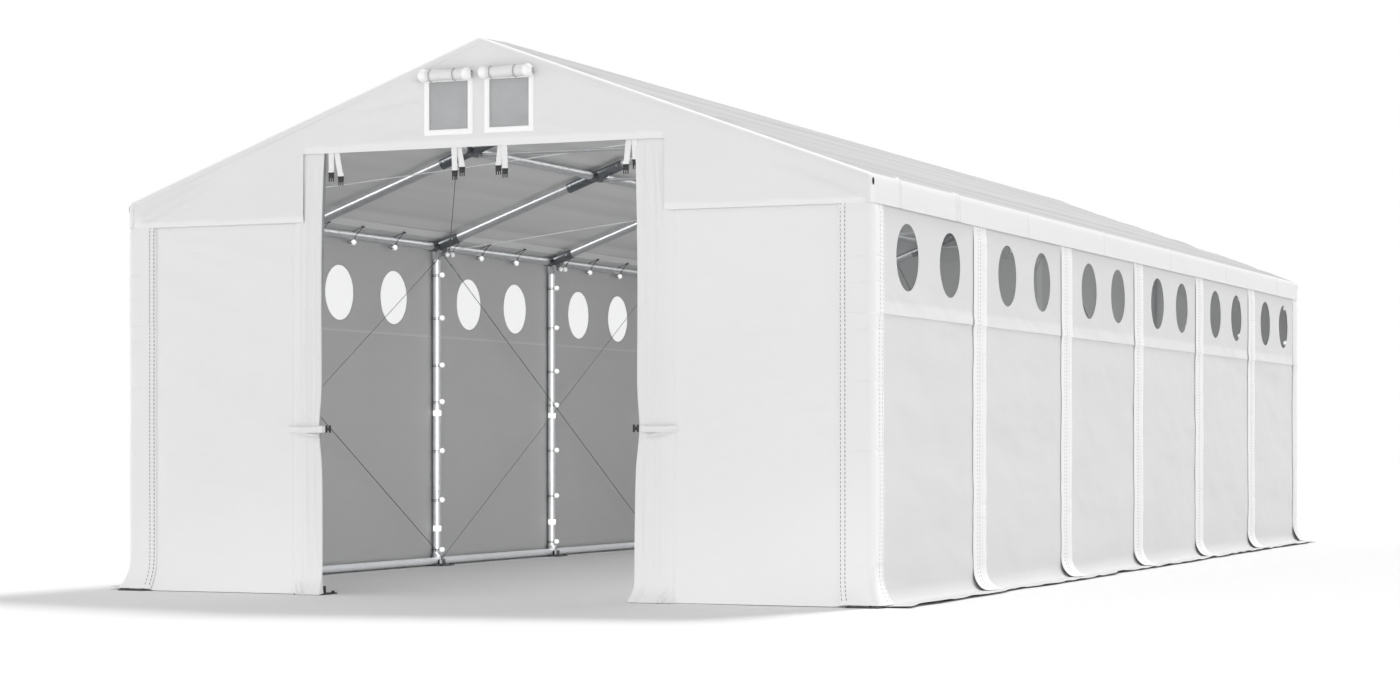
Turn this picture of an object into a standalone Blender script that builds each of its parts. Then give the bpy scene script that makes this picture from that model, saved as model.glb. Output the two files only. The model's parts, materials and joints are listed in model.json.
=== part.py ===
# Marquee tent, five by twelve metres: seven steel tube arches under a white tarpaulin cover.
# Metres, +Z up. The origin is on the ground at the middle of the plan, and the doorway looks along -Y.

import math

import bmesh
import bpy
from mathutils import Matrix, Vector

# Plan of the frame
BAY = 2.0
ARCHES = 7
END_INSET = 0.02
POST_X = 2.48
DOOR_POST_X = 1.13
GAP = 0.0003

# Tubes, sleeves and cables
TUBE_RADIUS = 0.032
RAIL_RADIUS = 0.030
BASE_RAIL_RADIUS = 0.028
SLEEVE_RADIUS = 0.038
STUB_RADIUS = 0.0365
ELBOW_RADIUS = 0.0372
DOOR_STUB_RADIUS = 0.0351
TIE_RADIUS = 0.010
TIE_DROP = 0.028
CABLE_RADIUS = 0.003
TUBE_SIDES = 10
CABLE_SIDES = 8
SLEEVE_FLAT = SLEEVE_RADIUS * math.cos(math.pi / TUBE_SIDES)

# Roof
RIDGE_TOP = 3.41
ROOF_SLOPE = 0.3656
ROOF_ANGLE = math.atan(ROOF_SLOPE)
EAVE_ROUND = 0.05
SKIN = 0.006
SEAT = 0.0005
AXIS_DROP = (SKIN + SEAT + SLEEVE_RADIUS) / math.cos(ROOF_ANGLE)

# Connectors, as lengths from the crossing of the tubes' axes
EAVE_ARM = 0.20
RIDGE_ARM = 0.24
MID_ARM = 0.24
STUB_ARM = 0.10
ELBOW_BOTTOM = 2.36
DOOR_STUB_BOTTOM = 2.86
KNUCKLE = 0.012

# Feet
PLATE_SIDE = 0.20
PLATE_THICK = 0.008
SOCKET_TOP = 0.09
BASE_RAIL_Z = PLATE_THICK + BASE_RAIL_RADIUS + 0.001

# Cover: each sheet's inner face, from the middle of the plan
WALL_X = POST_X + SLEEVE_RADIUS + SEAT
WALL_Y = (ARCHES - 1) / 2 * BAY - END_INSET + SLEEVE_RADIUS + SEAT
FLAP_RISE = 0.004
HEADER_Y = WALL_Y + SKIN + FLAP_RISE + 2 * GAP
VALANCE_X = WALL_X + SKIN + FLAP_RISE + 0.0015
COVER_X = VALANCE_X + SKIN
VALANCE_BOTTOM = 2.318
WALL_TOP = 2.40
HEM_Z = PLATE_THICK + GAP

# Round windows, two in each bay
WINDOW_RADIUS = 0.20
WINDOW_Z = 2.04
WINDOW_OFFSET = 0.40
WINDOW_SIDES = 24
FILM_THICK = 0.003
FILM_MARGIN = 0.05

# Flaps that cover the posts, and the corner flaps
FLAP_HALF = 0.14
FLAP_TOP = 2.33
CORNER_SIDE_WIDTH = 0.26
CORNER_GABLE_WIDTH = 0.195
FLARE_TOP = 0.16
FLARE_OUT = 0.07
SKIRT_TOP = 0.05
SKIRT_OUT = 0.05

# Doorway, curtains and their straps
LINTEL_Z = 2.742
NOTCH_HALF = 1.23
WALL_INNER_EDGE = 1.20
CURTAIN_OUTER = 1.24
CURTAIN_INNER = 1.066
CURTAIN_BACK = 5.885
STRAP_Z = 1.03
STRAP_HEIGHT = 0.045
STRAP_OUTER = 1.35
BUCKLE = (0.03, 0.02, 0.05)

# Vents in the gables
VENT_INNER = 0.074
VENT_OUTER = 0.339
VENT_BOTTOM = 2.854
VENT_TOP = 3.145
VENT_BORDER = 0.034
ROLL_RADIUS = 0.0375
ROLL_LENGTH = 0.36
ROLL_Z = 3.18
NET_THICK = 0.002
NET_MARGIN = 0.015

# Door straps that hang from the lintel: the distance from the middle and the lowest point of each
HANGING = ((1.035, 2.566), (0.975, 2.540), (0.175, 2.546), (0.125, 2.566))
WEBBING = (0.026, 0.003)
HANGING_BUCKLE = (0.032, 0.014, 0.058)

# Cable anchors
ANCHOR = (0.02, 0.03, 0.05)
BRACE_TOP = 2.40
BRACE_BOTTOM = 0.06
BRACE_EAVE_INSET = 0.085
BRACE_RIDGE_INSET = 0.15

# Frames for outlines: each maps an outline's plane and its thickness to the world
ACROSS = Matrix(((1, 0, 0, 0), (0, 0, -1, 0), (0, 1, 0, 0), (0, 0, 0, 1)))
ALONG = Matrix(((0, 0, 1, 0), (1, 0, 0, 0), (0, 1, 0, 0), (0, 0, 0, 1)))
PLAN = Matrix.Identity(4)


# Scene and materials

def clear_scene():
    for obj in list(bpy.data.objects):
        bpy.data.objects.remove(obj)


def new_collection(name, hidden):
    made = bpy.data.collections.new(name)
    made.hide_render = hidden
    bpy.context.scene.collection.children.link(made)
    return made


def linear(hex_colour):
    """A colour written as sRGB hex, as the linear values that a shader takes."""
    channels = [int(hex_colour[i:i + 2], 16) / 255 for i in (1, 3, 5)]
    return [c / 12.92 if c <= 0.04045 else ((c + 0.055) / 1.055) ** 2.4 for c in channels] + [1.0]


def new_material(name, colour, roughness, metallic=0.0, alpha=1.0):
    made = bpy.data.materials.new(name)
    made.use_nodes = True
    shader = made.node_tree.nodes["Principled BSDF"]
    shader.inputs["Base Color"].default_value = linear(colour)
    shader.inputs["Roughness"].default_value = roughness
    shader.inputs["Metallic"].default_value = metallic
    shader.inputs["Alpha"].default_value = alpha
    return made


clear_scene()
TENT = new_collection("marquee_tent", False)
CUTTERS = new_collection("cutters", True)
TARPAULIN = new_material("white_tarpaulin", "#ECECEC", 0.55)
STEEL = new_material("galvanised_steel", "#C9CCCE", 0.35, 0.9)
BLACK_STEEL = new_material("black_steel", "#2B2C2E", 0.5, 0.6)
CLEAR_FILM = new_material("clear_film", "#DDE3E6", 0.1, 0.0, 0.35)
NET = new_material("grey_net", "#6C6E70", 0.8)
CABLE = new_material("steel_cable", "#55585B", 0.4, 0.8)


# Building blocks

def add_object(name, mesh, material):
    mesh.materials.clear()
    mesh.materials.append(material)
    mesh.shade_smooth()
    mesh.set_sharp_from_angle(angle=math.radians(35))
    obj = bpy.data.objects.new(name, mesh)
    TENT.objects.link(obj)
    return obj


def helper(mesh):
    """A piece that is fused into another one."""
    obj = bpy.data.objects.new("helper", mesh)
    obj.display_type = "WIRE"
    CUTTERS.objects.link(obj)
    return obj


def tube(start, end, radius, sides=TUBE_SIDES):
    """A round bar between two points, as a mesh."""
    start, end = Vector(start), Vector(end)
    axis = end - start
    turn = axis.to_track_quat("Z", "Y").to_matrix().to_4x4()
    place = Matrix.Translation((start + end) / 2) @ turn
    bm = bmesh.new()
    bmesh.ops.create_cone(
        bm, cap_ends=True, segments=sides, radius1=radius, radius2=radius, depth=axis.length, matrix=place
    )
    return to_mesh(bm)


def block(centre, size):
    """A box, as a mesh."""
    bm = bmesh.new()
    bmesh.ops.create_cube(bm, size=1.0, matrix=Matrix.Translation(centre) @ Matrix.Diagonal((*size, 1.0)))
    return to_mesh(bm)


def to_mesh(bm):
    mesh = bpy.data.meshes.new("shape")
    bm.to_mesh(mesh)
    bm.free()
    return mesh


def plate(loops, thickness, place, offset=0.0):
    """A flat outline with its holes, thickened both ways from the offset along its frame's normal."""
    curve = bpy.data.curves.new("outline", "CURVE")
    curve.dimensions = "2D"
    curve.fill_mode = "BOTH"
    curve.extrude = thickness / 2
    for loop in loops:
        spline = curve.splines.new("POLY")
        spline.points.add(len(loop) - 1)
        for point, (u, v) in zip(spline.points, loop):
            point.co = (u, v, 0.0, 1.0)
        spline.use_cyclic_u = True
    outline = helper(curve)
    outline.matrix_world = place @ Matrix.Translation((0.0, 0.0, offset))
    bpy.context.view_layer.update()
    graph = bpy.context.evaluated_depsgraph_get()
    mesh = bpy.data.meshes.new_from_object(outline.evaluated_get(graph))
    bm = bmesh.new()
    bm.from_mesh(mesh)
    bm.transform(outline.matrix_world)
    bmesh.ops.remove_doubles(bm, verts=bm.verts, dist=1e-5)
    bmesh.ops.recalc_face_normals(bm, faces=bm.faces)
    bpy.data.objects.remove(outline)
    return to_mesh(bm)


def fuse(name, meshes, material):
    """One closed body from meshes that overlap one another."""
    pieces = [helper(mesh) for mesh in meshes]
    others = bpy.data.collections.new("others")
    CUTTERS.children.link(others)
    for piece in pieces[1:]:
        others.objects.link(piece)
    union = pieces[0].modifiers.new("union", "BOOLEAN")
    union.operation = "UNION"
    union.solver = "EXACT"
    union.operand_type = "COLLECTION"
    union.collection = others
    bpy.context.view_layer.update()
    graph = bpy.context.evaluated_depsgraph_get()
    joined = bpy.data.meshes.new_from_object(pieces[0].evaluated_get(graph))
    for piece in pieces:
        bpy.data.objects.remove(piece)
    bpy.data.collections.remove(others)
    return add_object(name, joined, material)


def ribbon(points, thickness):
    """The closed outline of a strip that lies to the left of an open line of points."""
    line = [Vector(p) for p in points]
    steps = [(b - a).normalized() for a, b in zip(line, line[1:])]
    normals = [Vector((-s.y, s.x)) for s in steps]
    corners = [normals[0]]
    for before, after in zip(normals, normals[1:]):
        middle = (before + after).normalized()
        corners.append(middle / middle.dot(after))
    corners.append(normals[-1])
    far_side = [p + n * thickness for p, n in zip(line, corners)]
    return [tuple(p) for p in line + far_side[::-1]]


def circle(u, v, radius, sides):
    turns = [2 * math.pi * (i + 0.5) / sides for i in range(sides)]
    return [(u + radius * math.cos(t), v + radius * math.sin(t)) for t in turns]


def rectangle(u0, v0, u1, v1):
    return [(u0, v0), (u1, v0), (u1, v1), (u0, v1)]


# Places that the pieces share

def arch_y(i):
    """Where arch i stands along the tent. The two end arches stand a little inside the last bay."""
    y = (i - (ARCHES - 1) / 2) * BAY
    return y - math.copysign(END_INSET, y) if i in (0, ARCHES - 1) else y


def axis_z(x):
    """The height of the rafter's axis."""
    return RIDGE_TOP - AXIS_DROP - ROOF_SLOPE * abs(x)


def on_rafter(side, x, y, drop=0.0):
    """A point of the rafter's axis, moved square to the roof by drop."""
    z = axis_z(x) - drop * math.cos(ROOF_ANGLE)
    return Vector((side * (x - drop * math.sin(ROOF_ANGLE)), y, z))


def along_rafter(side, x, y, distance):
    """A point at a distance up the slope from x."""
    return on_rafter(side, x - distance * math.cos(ROOF_ANGLE), y)


# Steel frame

def make_posts():
    for word, side in (("left", -1), ("right", 1)):
        for i in range(ARCHES):
            x = side * POST_X
            y = arch_y(i)
            post = tube((x, y, SOCKET_TOP + GAP), (x, y, ELBOW_BOTTOM - GAP), TUBE_RADIUS)
            add_object(f"post_{word}_{i + 1}", post, STEEL)


def stub(x, y, z, i, radius):
    """The pair of stubs that takes the rails of the bays on both sides, or one stub at an end arch."""
    low = y - (STUB_ARM if i > 0 else 0.0)
    high = y + (STUB_ARM if i < ARCHES - 1 else 0.0)
    return tube((x, low, z), (x, high, z), radius)


def rail(x, z, radius):
    return tube((x, arch_y(0), z), (x, arch_y(ARCHES - 1), z), radius)


def make_roof_frame(word, side):
    """Seven rafters of one slope with the eave rail, the middle rail and their connectors."""
    pieces = [rail(side * x, axis_z(x), RAIL_RADIUS) for x in (POST_X, DOOR_POST_X)]
    for i in range(ARCHES):
        y = arch_y(i)
        eave = on_rafter(side, POST_X, y)
        top = on_rafter(side, 0.0, y) - (on_rafter(side, 0.0, y) - eave).normalized() * (RIDGE_ARM + GAP)
        pieces.append(tube(eave, top, TUBE_RADIUS))
        low = along_rafter(side, POST_X, y, -KNUCKLE)
        high = along_rafter(side, POST_X, y, EAVE_ARM)
        pieces.append(tube(low, high, SLEEVE_RADIUS))
        pieces.append(tube((eave.x, y, ELBOW_BOTTOM), (eave.x, y, eave.z + KNUCKLE), ELBOW_RADIUS))
        pieces.append(stub(eave.x, y, eave.z, i, STUB_RADIUS))
        low = along_rafter(side, DOOR_POST_X, y, -MID_ARM)
        high = along_rafter(side, DOOR_POST_X, y, MID_ARM)
        pieces.append(tube(low, high, SLEEVE_RADIUS))
        pieces.append(stub(side * DOOR_POST_X, y, axis_z(DOOR_POST_X), i, STUB_RADIUS))
        if i in (0, ARCHES - 1):
            foot = (side * DOOR_POST_X, y, DOOR_STUB_BOTTOM)
            head = (side * DOOR_POST_X, y, axis_z(DOOR_POST_X))
            pieces.append(tube(foot, head, DOOR_STUB_RADIUS))
    fuse(f"roof_frame_{word}", pieces, STEEL)


def make_ridge_rail():
    """The ridge tube with a connector at each arch that takes both rafters."""
    pieces = [rail(0.0, axis_z(0.0), RAIL_RADIUS)]
    for i in range(ARCHES):
        y = arch_y(i)
        top = on_rafter(1, 0.0, y)
        for side in (-1, 1):
            down = (on_rafter(side, POST_X, y) - top).normalized()
            pieces.append(tube(top, top + down * RIDGE_ARM, SLEEVE_RADIUS))
        pieces.append(stub(0.0, y, top.z, i, STUB_RADIUS))
    fuse("ridge_rail", pieces, STEEL)


def make_collar_ties():
    """A thin tie across each arch, level with the middle connectors."""
    z = axis_z(DOOR_POST_X) - TIE_DROP
    clear = (SLEEVE_RADIUS + TIE_RADIUS + GAP) / math.cos(ROOF_ANGLE)
    reach = DOOR_POST_X - (clear - TIE_DROP) / ROOF_SLOPE
    for i in range(ARCHES):
        y = arch_y(i)
        add_object(f"collar_tie_{i + 1}", tube((-reach, y, z), (reach, y, z), TIE_RADIUS, CABLE_SIDES), STEEL)


def foot(x, y):
    """A base plate with the socket that a post stands in."""
    return [
        block((x, y, PLATE_THICK / 2), (PLATE_SIDE, PLATE_SIDE, PLATE_THICK)),
        tube((x, y, PLATE_THICK / 2), (x, y, SOCKET_TOP), SLEEVE_RADIUS),
    ]


def make_base_rail(word, side):
    """The ground tube of one side with the base plates and sockets of its seven posts."""
    x = side * POST_X
    pieces = [rail(x, BASE_RAIL_Z, BASE_RAIL_RADIUS)]
    for i in range(ARCHES):
        pieces += foot(x, arch_y(i))
    fuse(f"base_rail_{word}", pieces, BLACK_STEEL)


def make_door_posts():
    for end, i in (("front", 0), ("back", ARCHES - 1)):
        for word, side in (("left", -1), ("right", 1)):
            x = side * DOOR_POST_X
            y = arch_y(i)
            shaft = tube((x, y, SOCKET_TOP / 2), (x, y, DOOR_STUB_BOTTOM - GAP), TUBE_RADIUS)
            fuse(f"door_post_{end}_{word}", [shaft, *foot(x, y)], STEEL)


# Bracing cables: each cross spans two bays

def crossed_cables(name, low, high, inward):
    """Crosses between arches 1, 3, 5 and 7, with an anchor at both ends of every cable."""
    over = inward * CABLE_RADIUS
    pieces = []
    for i in range(0, ARCHES, 2):
        pieces += [block(point(arch_y(i)), ANCHOR) for point in (low, high)]
    for i in range(0, ARCHES - 1, 2):
        here, there = arch_y(i), arch_y(i + 2)
        pieces.append(tube(low(here), high(there), CABLE_RADIUS, CABLE_SIDES))
        pieces.append(tube(high(here) + over, low(there) + over, CABLE_RADIUS, CABLE_SIDES))
    fuse(name, pieces, CABLE)


def make_bracing(word, side):
    drop = SLEEVE_FLAT + GAP + ANCHOR[0] / 2
    x = side * (POST_X - drop)
    crossed_cables(
        f"wall_bracing_{word}",
        lambda y: Vector((x, y, BRACE_BOTTOM)),
        lambda y: Vector((x, y, BRACE_TOP)),
        Vector((-side, 0.0, 0.0)),
    )
    tilted = ANCHOR[0] * math.sin(ROOF_ANGLE) + ANCHOR[2] * math.cos(ROOF_ANGLE)
    roof_drop = SLEEVE_RADIUS + GAP + tilted / 2
    crossed_cables(
        f"roof_bracing_{word}",
        lambda y: on_rafter(side, POST_X - BRACE_EAVE_INSET, y, roof_drop),
        lambda y: on_rafter(side, BRACE_RIDGE_INSET, y, roof_drop),
        Vector((-side * math.sin(ROOF_ANGLE), 0.0, -math.cos(ROOF_ANGLE))),
    )


# Cover

def roof_half(inset):
    """One half of the cover's section, from the ridge to the valance's hem, inset from the outer face."""
    side_x = COVER_X - inset
    top = RIDGE_TOP - inset / math.cos(ROOF_ANGLE)
    radius = EAVE_ROUND - inset
    centre_x = side_x - radius
    centre_z = top - ROOF_SLOPE * centre_x - radius / math.cos(ROOF_ANGLE)
    points = [(0.0, top)]
    for k in range(7):
        turn = (math.pi / 2 - ROOF_ANGLE) * (1 - k / 6)
        points.append((centre_x + radius * math.cos(turn), centre_z + radius * math.sin(turn)))
    points.append((side_x, VALANCE_BOTTOM))
    return points


def mirrored(points):
    return [(-u, v) for u, v in points]


def make_roof_cover():
    """The roof sheet with the valance that hangs over each eave."""
    outer, inner = roof_half(0.0), roof_half(SKIN)
    outline = outer + inner[::-1] + mirrored(inner)[1:] + mirrored(outer)[:0:-1]
    length = 2 * (HEADER_Y - GAP)
    add_object("roof_cover", plate([outline], length, ACROSS), TARPAULIN)


def vent_loops(margin):
    """The outlines of a gable's two vents, grown by a margin."""
    low, high = VENT_INNER - margin, VENT_OUTER + margin
    right = rectangle(low, VENT_BOTTOM - margin, high, VENT_TOP + margin)
    return [right, mirrored(right)]


def make_gable_header(end, way):
    """The gable sheet above the doorway, with its two vents, rolled-up vent covers and door straps."""
    outer = roof_half(0.0)
    notch = [(NOTCH_HALF, VALANCE_BOTTOM), (NOTCH_HALF, LINTEL_Z)]
    outline = mirrored(outer)[:0:-1] + outer + notch + mirrored(notch)[::-1]
    middle = HEADER_Y + SKIN / 2
    pieces = [plate([outline, *vent_loops(0.0)], SKIN, ACROSS, -way * middle)]
    border_y = HEADER_Y + SKIN + FLAP_RISE / 2 - GAP
    for opening, border in zip(vent_loops(0.0), vent_loops(VENT_BORDER)):
        pieces.append(plate([border, opening], FLAP_RISE, ACROSS, -way * border_y))
    for side in (-1, 1):
        x = side * (VENT_INNER + VENT_OUTER) / 2
        y = way * (HEADER_Y + SKIN + ROLL_RADIUS * 0.8)
        pieces.append(tube((x - ROLL_LENGTH / 2, y, ROLL_Z), (x + ROLL_LENGTH / 2, y, ROLL_Z), ROLL_RADIUS))
        if way < 0:
            pieces += hanging_straps(side)
    fuse(f"gable_header_{end}", pieces, TARPAULIN)


def hanging_straps(side):
    """The door's upper straps, sewn inside the lintel, each ending in half a buckle."""
    pieces = []
    width, thick = WEBBING
    y = -(HEADER_Y - thick / 4)
    for x, bottom in HANGING:
        top = LINTEL_Z + 0.03
        low = bottom + HANGING_BUCKLE[2] / 2
        pieces.append(block((side * x, y, (top + low) / 2), (width, thick, top - low)))
        pieces.append(block((side * x, y + thick, bottom + HANGING_BUCKLE[2] / 2), HANGING_BUCKLE))
    return pieces


def make_vent_net(end, way):
    """One net behind both vents of a gable."""
    reach = VENT_OUTER + NET_MARGIN
    loop = rectangle(-reach, VENT_BOTTOM - NET_MARGIN, reach, VENT_TOP + NET_MARGIN)
    middle = HEADER_Y - GAP - NET_THICK / 2
    add_object(f"vent_net_{end}", plate([loop], NET_THICK, ACROSS, -way * middle), NET)


def flared(base, top, out, flare_top):
    """A hanging strip's line from its top down to a hem that turns outward on the ground."""
    points = [(base, top)]
    for k in range(7):
        t = k / 6
        points.append((base + out * t ** 2.2, HEM_Z + (flare_top - HEM_Z) * (1 - t) ** 1.6))
    return points


def side_frame(side):
    """The frame that lays a section (distance out, height) square to one long side."""
    return Matrix(((side, 0, 0, 0), (0, 0, -side, 0), (0, 1, 0, 0), (0, 0, 0, 1)))


def make_side_wall(word, side):
    """One long wall: a sheet with twelve round windows, a skirt, five flaps and both corner flaps."""
    length = 2 * (WALL_Y + SKIN)
    windows = []
    for bay in range(ARCHES - 1):
        middle = (bay - (ARCHES - 2) / 2) * BAY
        for way in (-1, 1):
            windows.append(circle(middle + way * WINDOW_OFFSET, WINDOW_Z, WINDOW_RADIUS, WINDOW_SIDES))
    panel = rectangle(-length / 2, SKIRT_TOP, length / 2, WALL_TOP)
    pieces = [plate([panel, *windows], SKIN, ALONG, side * (WALL_X + SKIN / 2))]
    skirt = ribbon(flared(WALL_X, SKIRT_TOP + 0.03, SKIRT_OUT, SKIRT_TOP), SKIN)
    pieces.append(plate([skirt], length, side_frame(side)))
    flap = ribbon(flared(WALL_X + SKIN - GAP, FLAP_TOP, FLARE_OUT, FLARE_TOP), FLAP_RISE + GAP)
    for i in range(1, ARCHES - 1):
        pieces.append(plate([flap], 2 * FLAP_HALF, side_frame(side), -side * arch_y(i)))
    for way in (-1, 1):
        middle = way * (WALL_Y + SKIN - CORNER_SIDE_WIDTH / 2)
        pieces.append(plate([flap], CORNER_SIDE_WIDTH, side_frame(side), -side * middle))
        pieces.append(corner_return(side, way))
    fuse(f"side_wall_{word}", pieces, TARPAULIN)


def corner_return(side, way):
    """The part of a corner flap that turns round the corner onto the gable."""
    out_x = WALL_X + SKIN + FLAP_RISE
    near = WALL_Y + SKIN + GAP
    far = WALL_Y + SKIN + FLAP_RISE
    inner = out_x - CORNER_GABLE_WIDTH
    back = WALL_Y + SKIN - 0.02
    seam = WALL_X + SKIN / 2
    loop = [(inner, near), (seam, near), (seam, back), (out_x, back), (out_x, far), (inner, far)]
    loop = [(side * u, way * v) for u, v in loop]
    return plate([loop], FLAP_TOP - HEM_Z, PLAN, (FLAP_TOP + HEM_Z) / 2)


def make_window_film(word, side):
    """One clear sheet behind the round windows of a long wall."""
    half = (ARCHES - 2) / 2 * BAY + WINDOW_OFFSET + WINDOW_RADIUS + FILM_MARGIN
    reach = WINDOW_RADIUS + FILM_MARGIN
    loop = rectangle(-half, WINDOW_Z - reach, half, WINDOW_Z + reach)
    middle = side * (WALL_X - GAP - FILM_THICK / 2)
    add_object(f"window_film_{word}", plate([loop], FILM_THICK, ALONG, middle), CLEAR_FILM)


def make_front_wall(word, side):
    """The gable sheet between a corner and the doorway."""
    loop = rectangle(side * WALL_INNER_EDGE, HEM_Z, side * (WALL_X - GAP), WALL_TOP)
    add_object(f"front_wall_{word}", plate([loop], SKIN, ACROSS, WALL_Y + SKIN / 2), TARPAULIN)


def make_back_wall():
    """The rear gable sheet with its closed door, which rises behind the lintel."""
    low = rectangle(-(WALL_X - GAP), HEM_Z, WALL_X - GAP, WALL_TOP)
    door_half, door_top = NOTCH_HALF + 0.06, LINTEL_Z + 0.05
    outline = low[:2] + [low[2], (door_half, WALL_TOP), (door_half, door_top)]
    outline += [(-door_half, door_top), (-door_half, WALL_TOP), low[3]]
    add_object("back_wall", plate([outline], SKIN, ACROSS, -(WALL_Y + SKIN / 2)), TARPAULIN)


def make_curtain(word, side):
    """Half of the door, gathered round its post and held by a strap with a buckle."""
    front = HEADER_Y - GAP
    clear = arch_y(ARCHES - 1) + SLEEVE_RADIUS + GAP
    over_wall = WALL_Y + SKIN + GAP
    beside = DOOR_POST_X - SLEEVE_RADIUS - GAP
    behind = arch_y(ARCHES - 1) - SLEEVE_RADIUS - 0.012
    soft = 0.019
    loop = [
        (CURTAIN_OUTER, front),
        (CURTAIN_INNER + soft, front),
        (CURTAIN_INNER, front - soft),
        (CURTAIN_INNER, CURTAIN_BACK + soft),
        (CURTAIN_INNER + soft, CURTAIN_BACK),
        (WALL_INNER_EDGE, CURTAIN_BACK),
        (WALL_INNER_EDGE, behind),
        (beside, behind),
        (beside, clear),
        (WALL_INNER_EDGE - 0.005, clear),
        (WALL_INNER_EDGE - 0.005, over_wall),
        (CURTAIN_OUTER, over_wall),
    ]
    loop = [(side * u, -v) for u, v in loop]
    top = LINTEL_Z + 0.02
    bundle = plate([loop], top - HEM_Z, PLAN, (top + HEM_Z) / 2)
    strap_inner = CURTAIN_INNER - BUCKLE[0] / 2
    strap_middle = side * (STRAP_OUTER + strap_inner) / 2
    strap = block((strap_middle, -(front + 0.002), STRAP_Z), (STRAP_OUTER - strap_inner, 0.005, STRAP_HEIGHT))
    buckle = block((side * (CURTAIN_INNER - BUCKLE[0] / 2), -front, STRAP_Z), BUCKLE)
    fuse(f"door_curtain_{word}", [bundle, strap, buckle], TARPAULIN)


def make_tent():
    make_posts()
    make_ridge_rail()
    make_collar_ties()
    make_door_posts()
    make_roof_cover()
    make_back_wall()
    for end, way in (("front", -1), ("back", 1)):
        make_gable_header(end, way)
        make_vent_net(end, way)
    for word, side in (("left", -1), ("right", 1)):
        make_roof_frame(word, side)
        make_base_rail(word, side)
        make_bracing(word, side)
        make_side_wall(word, side)
        make_window_film(word, side)
        make_front_wall(word, side)
        make_curtain(word, side)


make_tent()
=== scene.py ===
import json
import math

import bpy
import numpy as np
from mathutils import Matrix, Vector

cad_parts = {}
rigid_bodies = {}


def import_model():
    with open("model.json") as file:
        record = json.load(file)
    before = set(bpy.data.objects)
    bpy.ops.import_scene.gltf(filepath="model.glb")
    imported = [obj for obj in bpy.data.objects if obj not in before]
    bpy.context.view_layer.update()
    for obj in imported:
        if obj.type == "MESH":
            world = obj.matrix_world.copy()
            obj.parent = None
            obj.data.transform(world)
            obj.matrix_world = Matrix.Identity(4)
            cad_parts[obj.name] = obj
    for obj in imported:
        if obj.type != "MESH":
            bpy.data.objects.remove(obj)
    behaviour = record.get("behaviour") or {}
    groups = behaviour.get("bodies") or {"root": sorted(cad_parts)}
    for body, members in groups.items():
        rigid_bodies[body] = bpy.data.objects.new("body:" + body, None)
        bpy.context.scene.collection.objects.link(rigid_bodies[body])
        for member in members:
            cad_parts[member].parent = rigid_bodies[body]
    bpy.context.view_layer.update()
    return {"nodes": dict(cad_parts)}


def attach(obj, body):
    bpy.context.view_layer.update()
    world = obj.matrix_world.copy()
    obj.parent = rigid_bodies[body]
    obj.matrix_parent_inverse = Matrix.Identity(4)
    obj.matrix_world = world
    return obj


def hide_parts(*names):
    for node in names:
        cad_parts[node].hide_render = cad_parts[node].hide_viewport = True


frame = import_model()
print("frame loaded,", len(frame["nodes"]), "nodes")

# The tent's own sizes in metres, as the frame has them
tent = {
    "archY": np.array([-5.98, -4.0, -2.0, 0.0, 2.0, 4.0, 5.98]),
    "bay": 2.0,
    "postX": 2.48,
    "doorPostX": 1.13,
    "doorPostLean": 0.046,   # how far the front left door post's foot stands outwards of that
    "ridgeTop": 3.41,
    "slope": 0.3656,
    "coverX": 2.536,         # outer face of the valance
    "coverDepth": 0.0065,    # from the cover's outer face to the steel, square to the roof
    "sleeve": 0.038,         # radius of the connectors' sleeves
    "gableY": 6.035,         # outer face of the gable header
    "wallX": 2.5225,         # outer face of a long wall
    "wallY": 6.0235,         # outer face of a gable wall
    "valanceBottom": 2.318,
    "lintel": 2.742,
    "notchHalf": 1.23,
    "seamZ": 1.69,
    "clothThick": 0.0015,
}
sideSigns = {"left": -1, "right": 1}
endSigns = {"front": -1, "back": 1}
roofAngle = math.atan(tent["slope"])
# From the ridge down to the point where the rafters' axes cross
axisDrop = (tent["coverDepth"] + tent["sleeve"]) / math.cos(roofAngle)
bayMiddles = (np.arange(6) - 2.5) * tent["bay"]


# Camera, at the place that was fitted to the photo

cameraSetting = {
    "place": (8.013, -21.286, 0.938),
    "turn": 23.25,
    "lens": 72.87,
    "sensor": 36,
    "shiftY": 0.0671,
    "clipEnd": 500,
}


def makeCamera(setting):
    # A level camera turned about the upright axis; its lens is shifted to frame the tent
    lens = bpy.data.cameras.new("camera")
    lens.sensor_width = setting["sensor"]
    lens.lens = setting["lens"]
    lens.shift_y = setting["shiftY"]
    lens.clip_end = setting["clipEnd"]
    camera = bpy.data.objects.new("camera", lens)
    camera.location = setting["place"]
    camera.rotation_euler = (math.pi / 2, 0, math.radians(setting["turn"]))
    bpy.context.scene.collection.objects.link(camera)
    bpy.context.scene.camera = camera


makeCamera(cameraSetting)
print("camera ready")


# Materials

def linearColour(hexColour):
    # sRGB hex to the linear values that a shader takes
    channels = [int(hexColour[i:i + 2], 16) / 255 for i in (1, 3, 5)]
    return tuple(c / 12.92 if c <= 0.04045 else ((c + 0.055) / 1.055) ** 2.4 for c in channels) + (1.0,)


def addNode(tree, kind, values=None, links=None, **settings):
    # One node with its settings, its unlinked values and its links
    made = tree.nodes.new(kind)
    for name, value in settings.items():
        setattr(made, name, value)
    for socket, value in (values or {}).items():
        made.inputs[socket].default_value = value
    for socket, source in (links or {}).items():
        tree.links.new(source, made.inputs[socket])
    return made


def addNoise(tree, place, scale, detail, distortion=0.0):
    # The height of a noise with this many waves a metre
    values = {"Scale": scale, "Detail": detail, "Distortion": distortion}
    return addNode(tree, "ShaderNodeTexNoise", values, {"Vector": place}).outputs["Fac"]


def addBump(tree, strength, distance, **links):
    # The normal of a relief: its strength, its depth in metres, its height and the normal under it
    values = {"Strength": strength, "Distance": distance}
    return addNode(tree, "ShaderNodeBump", values, links).outputs["Normal"]


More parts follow.
